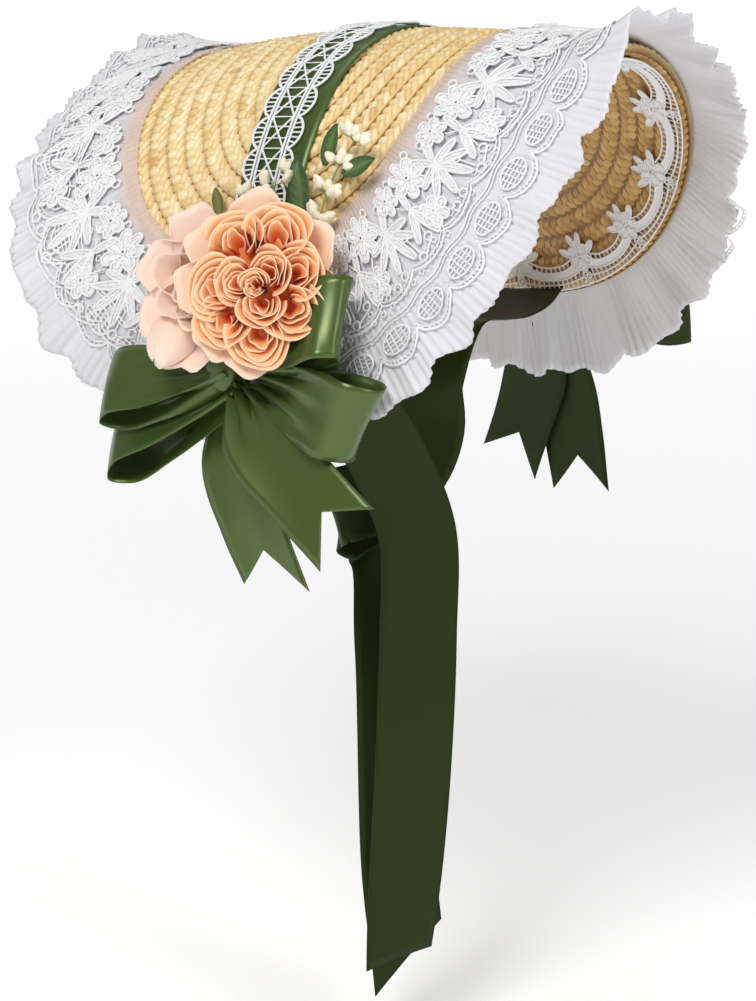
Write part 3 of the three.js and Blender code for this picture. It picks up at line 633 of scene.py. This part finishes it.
# Dull side for the far bow and the ties: its rougher, weaker gloss is the satin's reverse, and its darker
# colour is painted shade.
satin_dull_side_painted_shade = ribbon_cloth("green satin, dull side with painted shade", (0.017, 0.029, 0.006), 0.45, 0.22)
crown_u, crown_share = np.meshgrid(
    np.linspace(-CROWN_HALF_LENGTH, CROWN_HALF_LENGTH, 90), np.linspace(-1, 1, 9), indexing="ij"
)
crown_v = crown_share * RIBBON_WIDTH / 2
crown_height = CROWN_RIBBON_HEIGHT + 0.0004 * np.sin(crown_u / 0.013 + crown_share) * crown_share**2
crown_points = on_saddle(crown_u, crown_v, crown_height)
crown_weave = np.stack([crown_v, crown_u, 0 * crown_u], -1).reshape(-1, 3)
crown_ribbon = add_piece(
    "crown_ribbon_satin", crown_points.reshape(-1, 3), grid_faces(1, 90, 9), satin, ["crown_ribbon"],
    attributes={"weave": crown_weave}, thickness=SATIN_THICKNESS,
)

# Crown lace: a narrow bobbin lace with a row of crossed bars between two braids and scalloped edges, sewn
# along the nape side of the crown ribbon.
CROWN_LACE_PITCH = 0.0168
CROWN_LACE_REPEATS = 18
CROWN_LACE_BACK = 0.0035
CROWN_LACE_HEIGHT = 0.0062
BRAID_INNER = 0.0070
BRAID_OUTER = 0.0090

strip_x = np.linspace(0, 1, 13)
braid_x = strip_x * CROWN_LACE_PITCH
cross = flat_line(braid_x, BRAID_INNER * (1 - 2 * strip_x))
braids = np.stack([
    flat_line(braid_x, level) for level in (-BRAID_OUTER, -BRAID_INNER, BRAID_INNER, BRAID_OUTER)
])
edge_arc = 0.0096 + 0.0062 * np.abs(np.sin(np.pi * strip_x)) ** 0.6
edges = np.stack([flat_line(braid_x, side * edge_arc) for side in (-1, 1)])
post_x, post_arc = braid_x[2:11:2], edge_arc[2:11:2]
posts = np.concatenate([
    np.stack([
        flat_line(0.8 * post_x + 0.1 * CROWN_LACE_PITCH, side * BRAID_OUTER),
        flat_line(post_x, side * post_arc),
    ], 1) for side in (-1, 1)
])
rungs_x = np.array([0.0, 0.32, 0.68]) * CROWN_LACE_PITCH
rungs = np.stack([flat_line(rungs_x, side * BRAID_INNER) for side in (-1, 1)], 1)
crown_tile = join(
    cords(np.stack([cross, cross * [1, -1]]), 0.0006, 0.0006, False),
    cords(braids, 0.0004, 0.0008, False),
    cords(edges, 0.0004, 0.0008, False),
    cords(posts, 0.0003, 0.0005, False),
    cords(rungs, 0.0003, 0.0004, False),
)
crown_flat, crown_faces = repeat(crown_tile, CROWN_LACE_REPEATS, CROWN_LACE_PITCH)
crown_lace_points = on_saddle(
    crown_flat[:, 0] - CROWN_LACE_REPEATS * CROWN_LACE_PITCH / 2, crown_flat[:, 1] + CROWN_LACE_BACK,
    CROWN_LACE_HEIGHT + crown_flat[:, 2],
)
crown_lace = add_piece(
    "crown_lace_strip", crown_lace_points, crown_faces, lace, ["crown_lace"]
)

# Near bow: green satin folded in four loops and two swallow tails, drawn in and sewn at a knot under the
# flower on the wearer's right side.
NEAR_BOW = (-0.207, -0.002, 0.016)
TAIL_NOTCH = 0.020
KNOT_HALF_SIZE = (0.009, 0.011, 0.004)


def side_frame(u, v, height):
    """Origin and axes at a place on the bonnet's side: forward to the face, down away from the ridge and out
    from the straw."""
    u, v = np.array(u), np.array(v)
    step = 1e-3
    forward = unit(saddle(u, v - step) - saddle(u, v + step))
    down = unit((saddle(u + step, v) - saddle(u - step, v)) * np.sign(u))
    out = on_saddle(u, v, 1.0) - saddle(u, v)
    return on_saddle(u, v, height), np.stack([forward, down, out])


def curve_through(values, knots, at):
    """A cubic through the values at uneven knots, its slope at each knot that of the two neighbours."""
    slope = np.gradient(values, knots, axis=0)
    k = np.clip(np.searchsorted(knots, at, side="right") - 1, 0, len(knots) - 2)
    gap = (knots[k + 1] - knots[k])[:, None]
    x = (at - knots[k])[:, None] / gap
    from_here = (2 * x**3 - 3 * x**2 + 1) * values[k] + (x**3 - 2 * x**2 + x) * gap * slope[k]
    return from_here + (3 * x**2 - 2 * x**3) * values[k + 1] + (x**3 - x**2) * gap * slope[k + 1]


def ribbon(path, across, widths, rows=48, cup=0.0, ripple=0.0, notch=0.0, slant=0.0, phase=0.0):
    """A strip swept along a curve by its own width: pleated where it is drawn in, cupped across, rippled
    along, with the last third of its length drawn to a notch or a slant. Gives points, faces and weave."""
    knots = np.append(0.0, np.cumsum(np.linalg.norm(np.diff(path, axis=0), axis=1) ** 0.5))
    at = np.linspace(0, knots[-1], rows)
    centre = curve_through(path, knots, at)
    side = curve_through(unit(across), knots, at)
    wide = curve_through(widths[:, None], knots, at)
    ahead = unit(np.gradient(centre, axis=0))
    side = unit(side - ahead * (side * ahead).sum(1, keepdims=True))
    face = np.cross(ahead, side)
    share = np.linspace(-1, 1, 11)[None]
    length = run_along(centre)[:, None]
    drawn = np.clip(1 - wide / RIBBON_WIDTH, 0, 1)
    lift = 0.011 * drawn * np.cos(3 * np.pi * share + phase) + cup * (share**2 - 0.4)
    lift = lift + ripple * np.sin(length / 0.019 + 1.7 * share + phase) * (0.4 + 0.6 * np.abs(share))
    end = np.clip((length / length[-1] - 0.62) / 0.38, 0, 1)
    cut = end * (slant * share - notch * (1 - np.abs(share)))
    points = centre[:, None] + side[:, None] * (wide / 2 * share)[..., None]
    points = points + face[:, None] * lift[..., None] + ahead[:, None] * cut[..., None]
    weave = np.stack(np.broadcast_arrays(share * RIBBON_WIDTH / 2, length + cut, phase + 0 * cut), -1)
    return points.reshape(-1, 3), grid_faces(1, rows, 11), weave.reshape(-1, 3)


def bow_loop(seat, root, fold, across, gap, phase):
    """A teardrop in the plane of its own direction and normal: out from the root along one side, round the
    fold and back along the other, the two sides a gap apart near the fold."""
    place, axes = seat
    root, fold, across = np.array(root, float), np.array(fold, float), np.array(across, float)
    normal = unit(np.cross(fold - root, across))
    normal *= np.sign(normal[2])
    shares = np.array([0.05, 0.30, 0.60, 0.88, 1.0, 0.88, 0.60, 0.30, 0.05])
    apart = np.array([0.0, -0.20, -0.38, -0.50, 0.0, 0.50, 0.38, 0.20, 0.10])
    local = (root + shares[:, None] * (fold - root) + gap * apart[:, None] * normal) * MM
    widths = RIBBON_WIDTH * np.array([0.34, 0.64, 0.92, 1.0, 1.0, 1.0, 0.92, 0.64, 0.34])
    sides = np.broadcast_to(across @ axes, (9, 3))
    return ribbon(place + local @ axes, sides, widths, rows=64, cup=0.0008, ripple=0.0004, phase=phase)


def bow_tail(seat, forward, down, out, root, lean, phase, swing=0.0, twist=0.0, slant=0.0):
    """Down from the knot, widening from a gather and swung back by the way, to a swallow tail."""
    place, axes = seat
    local = np.array([
        [forward * 0.1, 11, root], [forward * 0.3 - swing, down * 0.38, out],
        [forward * 0.65 - swing * 0.6, down * 0.7, out + 1], [forward, down, out],
    ]) * MM
    turn = np.radians(lean)
    across = np.broadcast_to(np.array([np.cos(turn), -np.sin(turn), -twist]) @ axes, (4, 3))
    widths = RIBBON_WIDTH * np.array([0.33, 0.95, 1.0, 1.0])
    return ribbon(
        place + local @ axes, across, widths, rows=44, cup=0.001, ripple=0.0012, notch=TAIL_NOTCH,
        slant=slant, phase=phase,
    )


def bow_knot(seat, out):
    """A padded wrap: an ellipsoid of latitude and longitude with a crease along its length."""
    place, axes = seat
    pole, turn = np.meshgrid(
        np.linspace(0.02, np.pi - 0.02, 12), np.linspace(0, 2 * np.pi, 20), indexing="ij"
    )
    girth = np.sin(pole) * (1 + 0.05 * np.cos(5 * turn))
    sphere = np.stack([girth * np.cos(turn), np.cos(pole), girth * np.sin(turn)], -1).reshape(-1, 3)
    local = sphere * KNOT_HALF_SIZE + [0, 0, out * MM]
    return place + local @ axes, grid_faces(1, 12, 20), local


def add_bow(name, parts, nodes, cloth):
    """The strips of a bow as one satin piece."""
    points, faces = join(*[part[:2] for part in parts])
    bow = add_piece(
        name, points, faces, cloth, nodes,
        attributes={"weave": np.concatenate([part[2] for part in parts])}, thickness=SATIN_THICKNESS,
    )


near_seat = side_frame(*NEAR_BOW)
near_parts = [
    # root and fold from the bow's place (forward, down, out), way across the ribbon, gap at the fold, phase
    bow_loop(near_seat, [10, 0, 10], [-75, 15, 18], [0.32, 0.76, 0.56], 16, 0.3),
    bow_loop(near_seat, [10, 8, 4], [-78, 46, 10], [0.42, 0.66, 0.62], 18, 1.1),
    bow_loop(near_seat, [14, -4, 9], [74, -28, 12], [0.03, 0.95, 0.30], 15, 2.0),
    bow_loop(near_seat, [14, 4, 3], [84, 23, 8], [-0.50, 0.86, 0.02], 24, 2.9),
    # end forward, down and out, height of the gather, lean, phase
    bow_tail(near_seat, 24, 106, -1, -5, 8, 0.5, swing=14, slant=0.010),
    bow_tail(near_seat, 84, 76, 17, 8, 42, 1.9, twist=0.32),
    bow_knot(near_seat, 14.5),
]
add_bow("bow_near", near_parts, [
    "bow_loop_back_upper", "bow_loop_back_lower", "bow_loop_front_upper", "bow_loop_front_lower",
    "bow_tail_back", "bow_tail_front", "bow_knot",
], satin)

# Far bow: the same satin, seen on its dull side and painted darker as shade, in two loops and two swallow
# tails.
# It is sewn to the frill at the wearer's left ear.
FAR_BOW = (0.207, -0.002, 0.017)

far_seat = side_frame(*FAR_BOW)
far_parts = [
    bow_loop(far_seat, [0, 0, 2], [-76, 20, 5], [-0.14, 0.97, 0.20], 12, 0.8),
    bow_loop(far_seat, [0, 0, 2], [87, 5, 7], [-0.14, 0.97, 0.20], 14, 1.6),
    bow_tail(far_seat, -42, 98, -1, -4, -6, 2.2),
    bow_tail(far_seat, 5, 112, 2, -2, 2, 0.2),
    bow_knot(far_seat, 4.0),
]
# The far bow wears the dull side, whose darker colour is painted shade.
add_bow("bow_far", far_parts, [
    "far_bow_loop_back", "far_bow_loop_front", "far_bow_tail_back", "far_bow_tail_front", "far_bow_knot",
], satin_dull_side_painted_shade)

# Ties: two lengths of the same satin, on its dull side painted darker as shade, sewn inside the straw at the
# ears.
# The near one hangs straight; the far one swings across under the chin and then hangs behind it, both cut
# askew at the end.
SEEN_FLAT = [0.72, -0.69, 0.0]
UPRIGHT = [0.2, -0.3, -0.93]


def add_tie(name, node, rows, slant):
    """A ribbon through rows of point (mm) and direction across."""
    path = np.array([point for point, _ in rows], float) * MM
    across = np.array([side for _, side in rows], float)
    points, faces, weave = ribbon(
        path, across, np.full(len(rows), RIBBON_WIDTH), rows=110, cup=0.0016, ripple=0.0006, slant=slant
    )
    # The ties wear the dull side, whose darker colour is painted shade.
    tie = add_piece(
        name, points, faces, satin_dull_side_painted_shade, [node],
        attributes={"weave": weave}, thickness=SATIN_THICKNESS,
    )


add_tie("tie_near_ribbon", "tie_near", [
    ([-96, -62, -104], [0.1, -1, 0.1]), ([-91, -59, -136], [0.2, -1, 0]), ([-76, -44, -170], SEEN_FLAT),
    ([-54, -48, -206], SEEN_FLAT), ([-40, -55, -245], SEEN_FLAT), ([-39, -55, -300], SEEN_FLAT),
    ([-41, -53, -380], SEEN_FLAT), ([-46, -48, -478], [0.95, -0.32, 0]),
], slant=-0.004)
add_tie("tie_far_ribbon", "tie_far", [
    ([104, -17, -142], [0, -1, 0]), ([84, -24, -147], [0, -1, 0]), ([56, -31, -150], [0, -1, 0.1]),
    ([20, -28, -150], [0.3, -0.9, 0.1]), ([-6, -32, -174], SEEN_FLAT), ([-7, -34, -199], SEEN_FLAT),
    ([-16, -32, -218], [0.6, -0.6, -0.5]), ([-36, -26, -230], UPRIGHT), ([-58, -14, -235], UPRIGHT),
    ([-42, -2, -243], [0.25, -0.35, -0.9]), ([-19, -14, -262], [0.6, -0.6, -0.55]),
    ([-25, -26, -312], SEEN_FLAT), ([-26, -31, -430], SEEN_FLAT), ([-22, -35, -489], SEEN_FLAT),
], slant=-0.020)

# Blooms: silk petals, dyed from deep orange at the foot to pale peach at the rim, heat-curled and glued in
# whorls round a boss. One full peony in front, two half-open paler ones tucked behind it.
FLOWER = (-0.170, -0.014, 0.013)
SILK_THICKNESS = 0.0003
NEST_CUPS = 5

flower_place, flower_axes = side_frame(*FLOWER)


def petal_whorl(count, reach, width, tilt, curl, start, cup, ruffle, fade_foot, fade_rim, lift):
    """Petals round an axis: each leaves the middle at the tilt and turns by the curl along its length, wraps
    round the axis by its width, cups with the square of the way across and ruffles towards a rounded tip."""
    reach, width, cup, ruffle = np.array([reach, width, cup, ruffle]) * MM
    p, q = np.meshgrid(np.linspace(0, 1, 11), np.linspace(-1, 1, 13), indexing="ij")
    lean = np.radians(tilt + curl * np.linspace(0, 1, 11))
    step = reach / 10
    radial = np.append(0.0, np.cumsum(np.cos(lean[1:])) * step)[:, None] + 0.08 * reach
    rise = np.append(0.0, np.cumsum(np.sin(lean[1:])) * step)[:, None]
    half = width / 2 * (0.30 + 0.70 * np.sin(np.pi / 2 * np.clip(1.3 * p, 0, 1)))
    turn = 2 * np.pi * (np.arange(count) + start) / count + rng.normal(0, 0.10, count)
    phase = rng.uniform(0, 2 * np.pi, (count, 1, 1))
    size = rng.normal(1, 0.05, (count, 1, 1))
    tip = rng.normal(0, 1, (count, 1, 1))
    wave = np.sin(1.3 * np.pi * q + phase) + 0.4 * np.sin(2.9 * np.pi * q + 2 * phase)
    round_tip = 1 - 0.24 * np.abs(q) ** 3 * p**2 - 0.03 * p**3 * np.cos(1.8 * np.pi * q + phase)
    away = lean[:, None] + np.pi / 2
    bend = cup * q**2 * p + ruffle * p**2 * wave
    r = size * (radial * round_tip + bend * np.cos(away))
    h = size * (rise * round_tip + bend * np.sin(away)) + 0.02 * reach * tip * p + lift * MM
    fan = turn[:, None, None] + size * half * q * (1 - 0.2 * p**4 * np.abs(q)) / (np.abs(r) + 0.25 * reach)
    points = np.stack([r * np.cos(fan), r * np.sin(fan), h], -1).reshape(-1, 3)
    fade = np.broadcast_to(fade_foot + p * (fade_rim - fade_foot) + 0.04 * tip, r.shape).ravel()
    return points, grid_faces(count, 11, 13), fade


def petal_nest(angle, distance, lift, radius, height):
    """Cups set one in another, each a fan about the nest's own axis that is open to the middle of the bloom:
    the radius flares with a root of the height, the rim waves with the angle, and the axis leans outwards
    with its distance from the middle."""
    swing = rng.normal(0, 0.3)
    radius, height = radius * MM, height * MM
    p, a = np.meshgrid(np.linspace(0, 1, 10), np.linspace(-1, 1, 23), indexing="ij")
    share = np.linspace(1.0, 0.32, NEST_CUPS)[:, None, None]
    phase = rng.uniform(0, 2 * np.pi, (NEST_CUPS, 1, 1))
    fan = (1.75 + 0.6 * (1 - share)) * a + swing + 0.35 * np.sin(phase)
    wave = np.sin(4.2 * a + phase) + 0.5 * np.sin(8.5 * a + 2 * phase)
    r = radius * share * (0.45 + 0.55 * p**0.7 + 0.10 * p**5) + 0.075 * radius * p**2 * wave
    h = height * (0.72 + 0.28 * share) * p * (1 - 0.28 * a**4) + 0.08 * height * p**2 * np.cos(4 * a + phase)
    upright = np.stack([r * np.cos(fan), r * np.sin(fan), h], -1).reshape(-1, 3)
    turn, lean = np.radians(angle), np.radians(1.2 * distance)
    out = np.array([np.cos(turn), np.sin(turn), 0.0])
    top = np.sin(lean) * out + [0, 0, np.cos(lean)]
    aside = np.cross([0, 0, 1.0], out)
    points = upright @ np.stack([np.cross(aside, top), aside, top]) + (distance * out + [0, 0, lift]) * MM
    fade = 0.08 + 0.66 * p**1.2 + 0.16 * p**8 - 0.10 * (1 - share) * (1 - p)
    return points, grid_faces(NEST_CUPS, 10, 23), np.broadcast_to(fade, r.shape).ravel()


def add_bloom(name, node, place, facing, whorls, nests, folded_back, material):
    """Whorls and nests turned to face one way, with a last whorl that is folded back on to the lace."""
    axis = unit(np.array(facing))
    first = unit(np.cross([0.0, 0.0, 1.0], axis))
    basis = np.stack([first, np.cross(axis, first), axis])
    centre = flower_place + np.array(place) * MM @ flower_axes
    made = [petal_whorl(*row) for row in whorls]
    made += [petal_nest(*row) for row in nests]
    made += [petal_whorl(*folded_back)]
    points, faces = join(*[part[:2] for part in made])
    add_piece(
        name, centre + points @ basis, faces, material, [node],
        attributes={"fade": np.concatenate([part[2] for part in made])}, thickness=SILK_THICKNESS,
    )


def silk(name, *stops):
    """Petal silk: the colour runs through the stops from the foot to the rim, with fine streaks."""
    material = principled(
        name, stops[1][1], Roughness=0.65, Sheen_Weight=0.2, Subsurface_Weight=0.2,
        Subsurface_Radius=(0.006, 0.003, 0.002),
    )
    streak = add_noise(material, add_node(material, "TexCoord").outputs["Object"], 240.0)
    colour_by(material, streaked(material, "fade", streak, 0.10), *stops)
    return material


peach = silk(
    "peach petal silk", (0.08, (0.88, 0.13, 0.02)), (0.40, (0.95, 0.29, 0.065)), (0.66, (0.97, 0.46, 0.18)),
    (0.88, (0.98, 0.61, 0.35)), (1.0, (0.98, 0.74, 0.56)),
)
blush = silk(
    "blush petal silk", (0.10, (0.95, 0.38, 0.18)), (0.50, (0.97, 0.56, 0.35)), (0.80, (0.98, 0.67, 0.50)),
    (1.0, (0.98, 0.77, 0.65)),
)
add_bloom("bloom_main_petals", "bloom_main", [16, 1, 20], (-0.80, -0.46, 0.26), [
    # petals, reach, width, tilt, curl, start, cup, ruffle, fade at the foot and at the rim, lift
    [8, 40, 46, 6, 14, 0.0, 2, 1.6, 0.80, 1.0, 0], [7, 26, 34, 16, 4, 0.5, 3, 1.2, 0.20, 0.6, 1],
], [
    # angle, distance, lift, radius, height
    [184, 15, 7, 14, 16], [118, 19, 7, 13.5, 17], [70, 21, 7, 14.5, 17], [22, 16, 7, 12.5, 16],
    [-30, 16, 7, 13.5, 17], [-86, 19, 7, 14, 16], [-134, 18, 7, 13, 15], [50, 7, 8, 10.5, 17],
    [170, 7, 8, 10, 17], [290, 7, 8, 10.5, 16], [110, 1, 8, 6.5, 16], [250, 1, 9, 4, 14],
], [7, 34, 40, -30, -26, 0.3, 1, 0.8, 0.70, 0.95, -1], peach)
add_bloom("bloom_back_petals", "bloom_back", [-20, 2, 10], (-0.84, -0.16, 0.25), [
    [7, 39, 48, 10, 26, 0.2, 3, 2.0, 0.80, 1.0, 0], [6, 34, 44, 36, 34, 0.6, 4, 1.8, 0.66, 1.0, 1],
    [5, 28, 36, 50, 44, 0.3, 4, 1.5, 0.45, 0.92, 2],
], [], [6, 26, 34, -24, -26, 0.3, 1, 0.8, 0.70, 0.95, -1], blush)
add_bloom("bloom_low_petals", "bloom_low", [-31, 15, 22], (-0.62, 0.10, -0.75), [
    [5, 35, 44, 12, 140, 0.3, 1, 0.3, 0.70, 0.95, 0], [4, 31, 38, 16, 140, 0.1, 1, 0.3, 0.55, 0.80, 1],
], [], [5, 20, 24, -18, -26, 0.3, 1, 0.5, 0.70, 0.95, -1], blush)

# Bud sprays: cream teardrop buds of coated foam on thin stalks, bound in whorls to a wire stem. They are
# tucked behind the peony and lie on the ribbon and the straw.
SPRAY_SHIFT = [-5.5, 0, -7.5]
BUD_LENGTH = 11.0
BUD_HALF_WIDTH = 2.2
BUDS_AT_NODE = 8
STEM_RADIUS = 0.6


def buds_on_spray(stem, nodes_at, seed):
    """Teardrops in whorls at points along a bent stem: each leaves its node on a short stalk, and its radius
    is a sine of a power of the way along, drawn to a point."""
    draw = np.random.default_rng(seed)
    stem = np.array(stem, float)
    whorl = np.repeat(np.arange(len(nodes_at)), BUDS_AT_NODE)
    total = len(whorl)
    root = curve_through(stem, np.linspace(0, 1, len(stem)), np.asarray(nodes_at, float))[whorl]
    turn = 2 * np.pi * np.arange(total) / BUDS_AT_NODE + whorl * 0.7 + draw.normal(0, 0.25, total)
    ahead = unit(stem[-1] - stem[0])
    first = np.cross(ahead, [0, 0, 1.0])
    way = np.cos(turn)[:, None] * first + np.abs(np.sin(turn))[:, None] * np.array([0, 0, 0.7])
    way = unit(way + draw.uniform(0.3, 1.1, (total, 1)) * ahead)
    length = BUD_LENGTH * draw.uniform(0.8, 1.15, (total, 1))
    tall = np.linspace(0, 1, 13)
    swell = np.clip((tall - 0.30) / 0.70, 0, 1)
    radius = 0.35 + BUD_HALF_WIDTH * np.sin(np.pi * swell**0.8) ** 0.9
    radius[-1] = 0.12
    ring = np.linspace(0, 2 * np.pi, 8, endpoint=False)
    one = unit(np.cross(way, [0.3, 0.5, 0.8]))
    two = np.cross(way, one)
    spin = np.cos(ring)[None, :, None] * one[:, None] + np.sin(ring)[None, :, None] * two[:, None]
    centre = root[:, None] + way[:, None] * (tall[None, :, None] * length[:, None])
    points = centre[:, :, None] + radius[None, :, None, None] * spin[:, None]
    stem_line = curve_through(stem, np.linspace(0, 1, len(stem)), np.linspace(0, 1, 10))
    stem_tube = (stem_line[:, None] + STEM_RADIUS * spin[:1]).reshape(-1, 3)
    tone = np.broadcast_to(tall[None, :, None], points.shape[:3]).ravel()
    points, faces = join(
        (points.reshape(-1, 3), grid_faces(total, 13, 8, False, True)),
        (stem_tube, grid_faces(1, 10, 8, False, True)),
    )
    return points * MM, faces, np.append(tone, np.zeros(len(stem_tube)))


spray_place = flower_place + np.array(SPRAY_SHIFT) * MM @ flower_axes
bud_skin = principled("cream bud", (0.90, 0.84, 0.62), Roughness=0.45)
colour_by(bud_skin, read_attribute(bud_skin, "tone"), (0.30, (0.34, 0.38, 0.12)), (0.62, (0.92, 0.87, 0.68)))
for node, stem, nodes_at, seed in (
    ("bud_spray_back", [[-22, -42, 1], [-8, -48, 2], [8, -54, 0]], (0.1, 0.55, 0.95), 3),
    ("bud_spray_front", [[30, -28, 3], [38, -52, 4], [50, -76, 0]], (0.12, 0.38, 0.68, 0.92), 5),
):
    points, faces, tone = buds_on_spray(stem, nodes_at, seed)
    add_piece(
        node + "_buds", spray_place + points @ flower_axes, faces, bud_skin, [node],
        attributes={"tone": tone},
    )

# Leaves: small blades of dyed cloth with a pressed midrib and side veins, wired among the buds. Three are
# dark green, and two by the paler blooms are olive.
LEAF_FOLD = 0.14
LEAF_THICKNESS = 0.0004


def leaf_cloth(name, midrib, blade):
    """Dyed cloth: the colour runs from the midrib and side veins to the blade between them."""
    material = principled(name, blade, Roughness=0.5)
    colour_by(material, read_attribute(material, "vein"), (0.0, midrib), (0.5, blade))
    return material


def add_leaf(name, node, root, tip, width, cloth):
    """A blade from root to tip: half width a sine along it, folded up from the midrib, its edge waved."""
    root, tip = np.array(root) * MM, np.array(tip) * MM
    along = tip - root
    across = unit(np.cross(along, [0, 0, 1.0]))
    up = unit(np.cross(across, along))
    t, q = np.meshgrid(np.linspace(0, 1, 14), np.linspace(-1, 1, 9), indexing="ij")
    half = width * MM / 2 * np.sin(np.pi * (0.06 + 0.92 * t)) ** 0.8
    rise = width * MM * (LEAF_FOLD * np.abs(q) + 0.10 * np.sin(np.pi * t) + 0.03 * np.sin(9 * t) * np.abs(q))
    local = root + t[..., None] * along + (half * q)[..., None] * across + rise[..., None] * up
    ribs = np.minimum(np.abs(q), np.abs(np.mod(7 * t - 1.5 * np.abs(q), 1.0) - 0.5) * 1.6 + 0.12)
    add_piece(
        name, spray_place + local.reshape(-1, 3) @ flower_axes, grid_faces(1, 14, 9), cloth, [node],
        attributes={"vein": ribs.ravel()}, thickness=LEAF_THICKNESS,
    )


green_leaf = leaf_cloth("green leaf cloth", (0.12, 0.20, 0.05), (0.035, 0.085, 0.022))
olive_leaf = leaf_cloth("olive leaf cloth", (0.22, 0.23, 0.06), (0.13, 0.135, 0.028))
add_leaf("leaf_blade_1", "leaf_1", [-50, -28, 1], [-63, -34, 1], 8, olive_leaf)
add_leaf("leaf_blade_2", "leaf_2", [-33, -36, 1], [-39, -50, 0], 7, olive_leaf)
add_leaf("leaf_blade_3", "leaf_3", [24, -34, 4], [15, -65, 2], 13, green_leaf)
add_leaf("leaf_blade_4", "leaf_4", [37, -60, 7], [43, -80, 7], 9, green_leaf)
add_leaf("leaf_blade_5", "leaf_5", [46, -56, 4], [63, -64, 2], 9, green_leaf)

# Stage: a wide pale floor below the ties' ends, soft boxes round the bonnet, and the camera at the photo's
# place. None of it is part of the bonnet.
FLOOR_Z = -0.530
FLOOR_HALF = 30
CAMERA_AT = (-1.1197, -0.9349, 0.1271)
CAMERA_LENS = 101.79
CAMERA_AZIMUTH = np.radians(-50)
CAMERA_ELEVATION = np.radians(14.3)

floor_mesh = bpy.data.meshes.new("floor")
floor_mesh.from_pydata([
    (x * FLOOR_HALF, y * FLOOR_HALF, FLOOR_Z) for x, y in ((-1, -1), (1, -1), (1, 1), (-1, 1))
], [], [(0, 1, 2, 3)])
floor = bpy.data.objects.new("floor", floor_mesh)
bpy.context.scene.collection.objects.link(floor)
paper = principled(
    "pale paper", (0.88, 0.88, 0.88), Roughness=0.9, Specular_IOR_Level=0.1, Emission_Color=(1, 1, 1, 1)
)
away = add_node(paper, "VectorMath")
away.operation = "LENGTH"
glow = add_node(paper, "MapRange", From_Min=0.8, From_Max=3.5, To_Min=0.42, To_Max=0.92)
connect(
    paper, (add_node(paper, "TexCoord").outputs["Object"], away.inputs[0]),
    (away.outputs["Value"], glow.inputs["Value"]),
    (glow.outputs["Result"], shader_input(paper, "Emission Strength")),
)
floor_mesh.materials.append(paper)


def add_facing(name, data, place, way):
    """A lamp or a camera at a place, looking along a way with its top up."""
    thing = bpy.data.objects.new(name, data)
    thing.location = place
    thing.rotation_mode = "QUATERNION"
    thing.rotation_quaternion = Vector(way).to_track_quat("-Z", "Y")
    bpy.context.scene.collection.objects.link(thing)
    return thing


def add_softbox(name, place, aim, size, power):
    """A square area light at a place, turned to face the aim."""
    lamp = bpy.data.lights.new(name, "AREA")
    lamp.size = size
    lamp.energy = power
    add_facing(name, lamp, place, np.array(aim, float) - np.array(place, float))


add_softbox("key", (-1.5, -0.45, 1.25), (0, 0, -0.12), 0.7, 23)
add_softbox("face_side", (-0.2, -1.9, 0.8), (0, 0, -0.15), 0.6, 9)
add_softbox("top", (0.3, 0.6, 1.9), (0, 0, -0.1), 1.4, 8)
world = bpy.data.worlds.new("studio")
world.use_nodes = True
set_sockets(world.node_tree.nodes["Background"], {"Color": (1, 1, 1, 1), "Strength": 0.22})
bpy.context.scene.world = world

camera_data = bpy.data.cameras.new("photo camera")
camera_data.lens = CAMERA_LENS
camera_data.sensor_width = 36.0
camera_data.clip_end = 100.0
camera_way = np.array([
    -np.sin(CAMERA_AZIMUTH) * np.cos(CAMERA_ELEVATION), np.cos(CAMERA_AZIMUTH) * np.cos(CAMERA_ELEVATION),
    -np.sin(CAMERA_ELEVATION),
])
bpy.context.scene.camera = add_facing("photo camera", camera_data, CAMERA_AT, camera_way)
bpy.context.scene.view_settings.view_transform = "Standard"
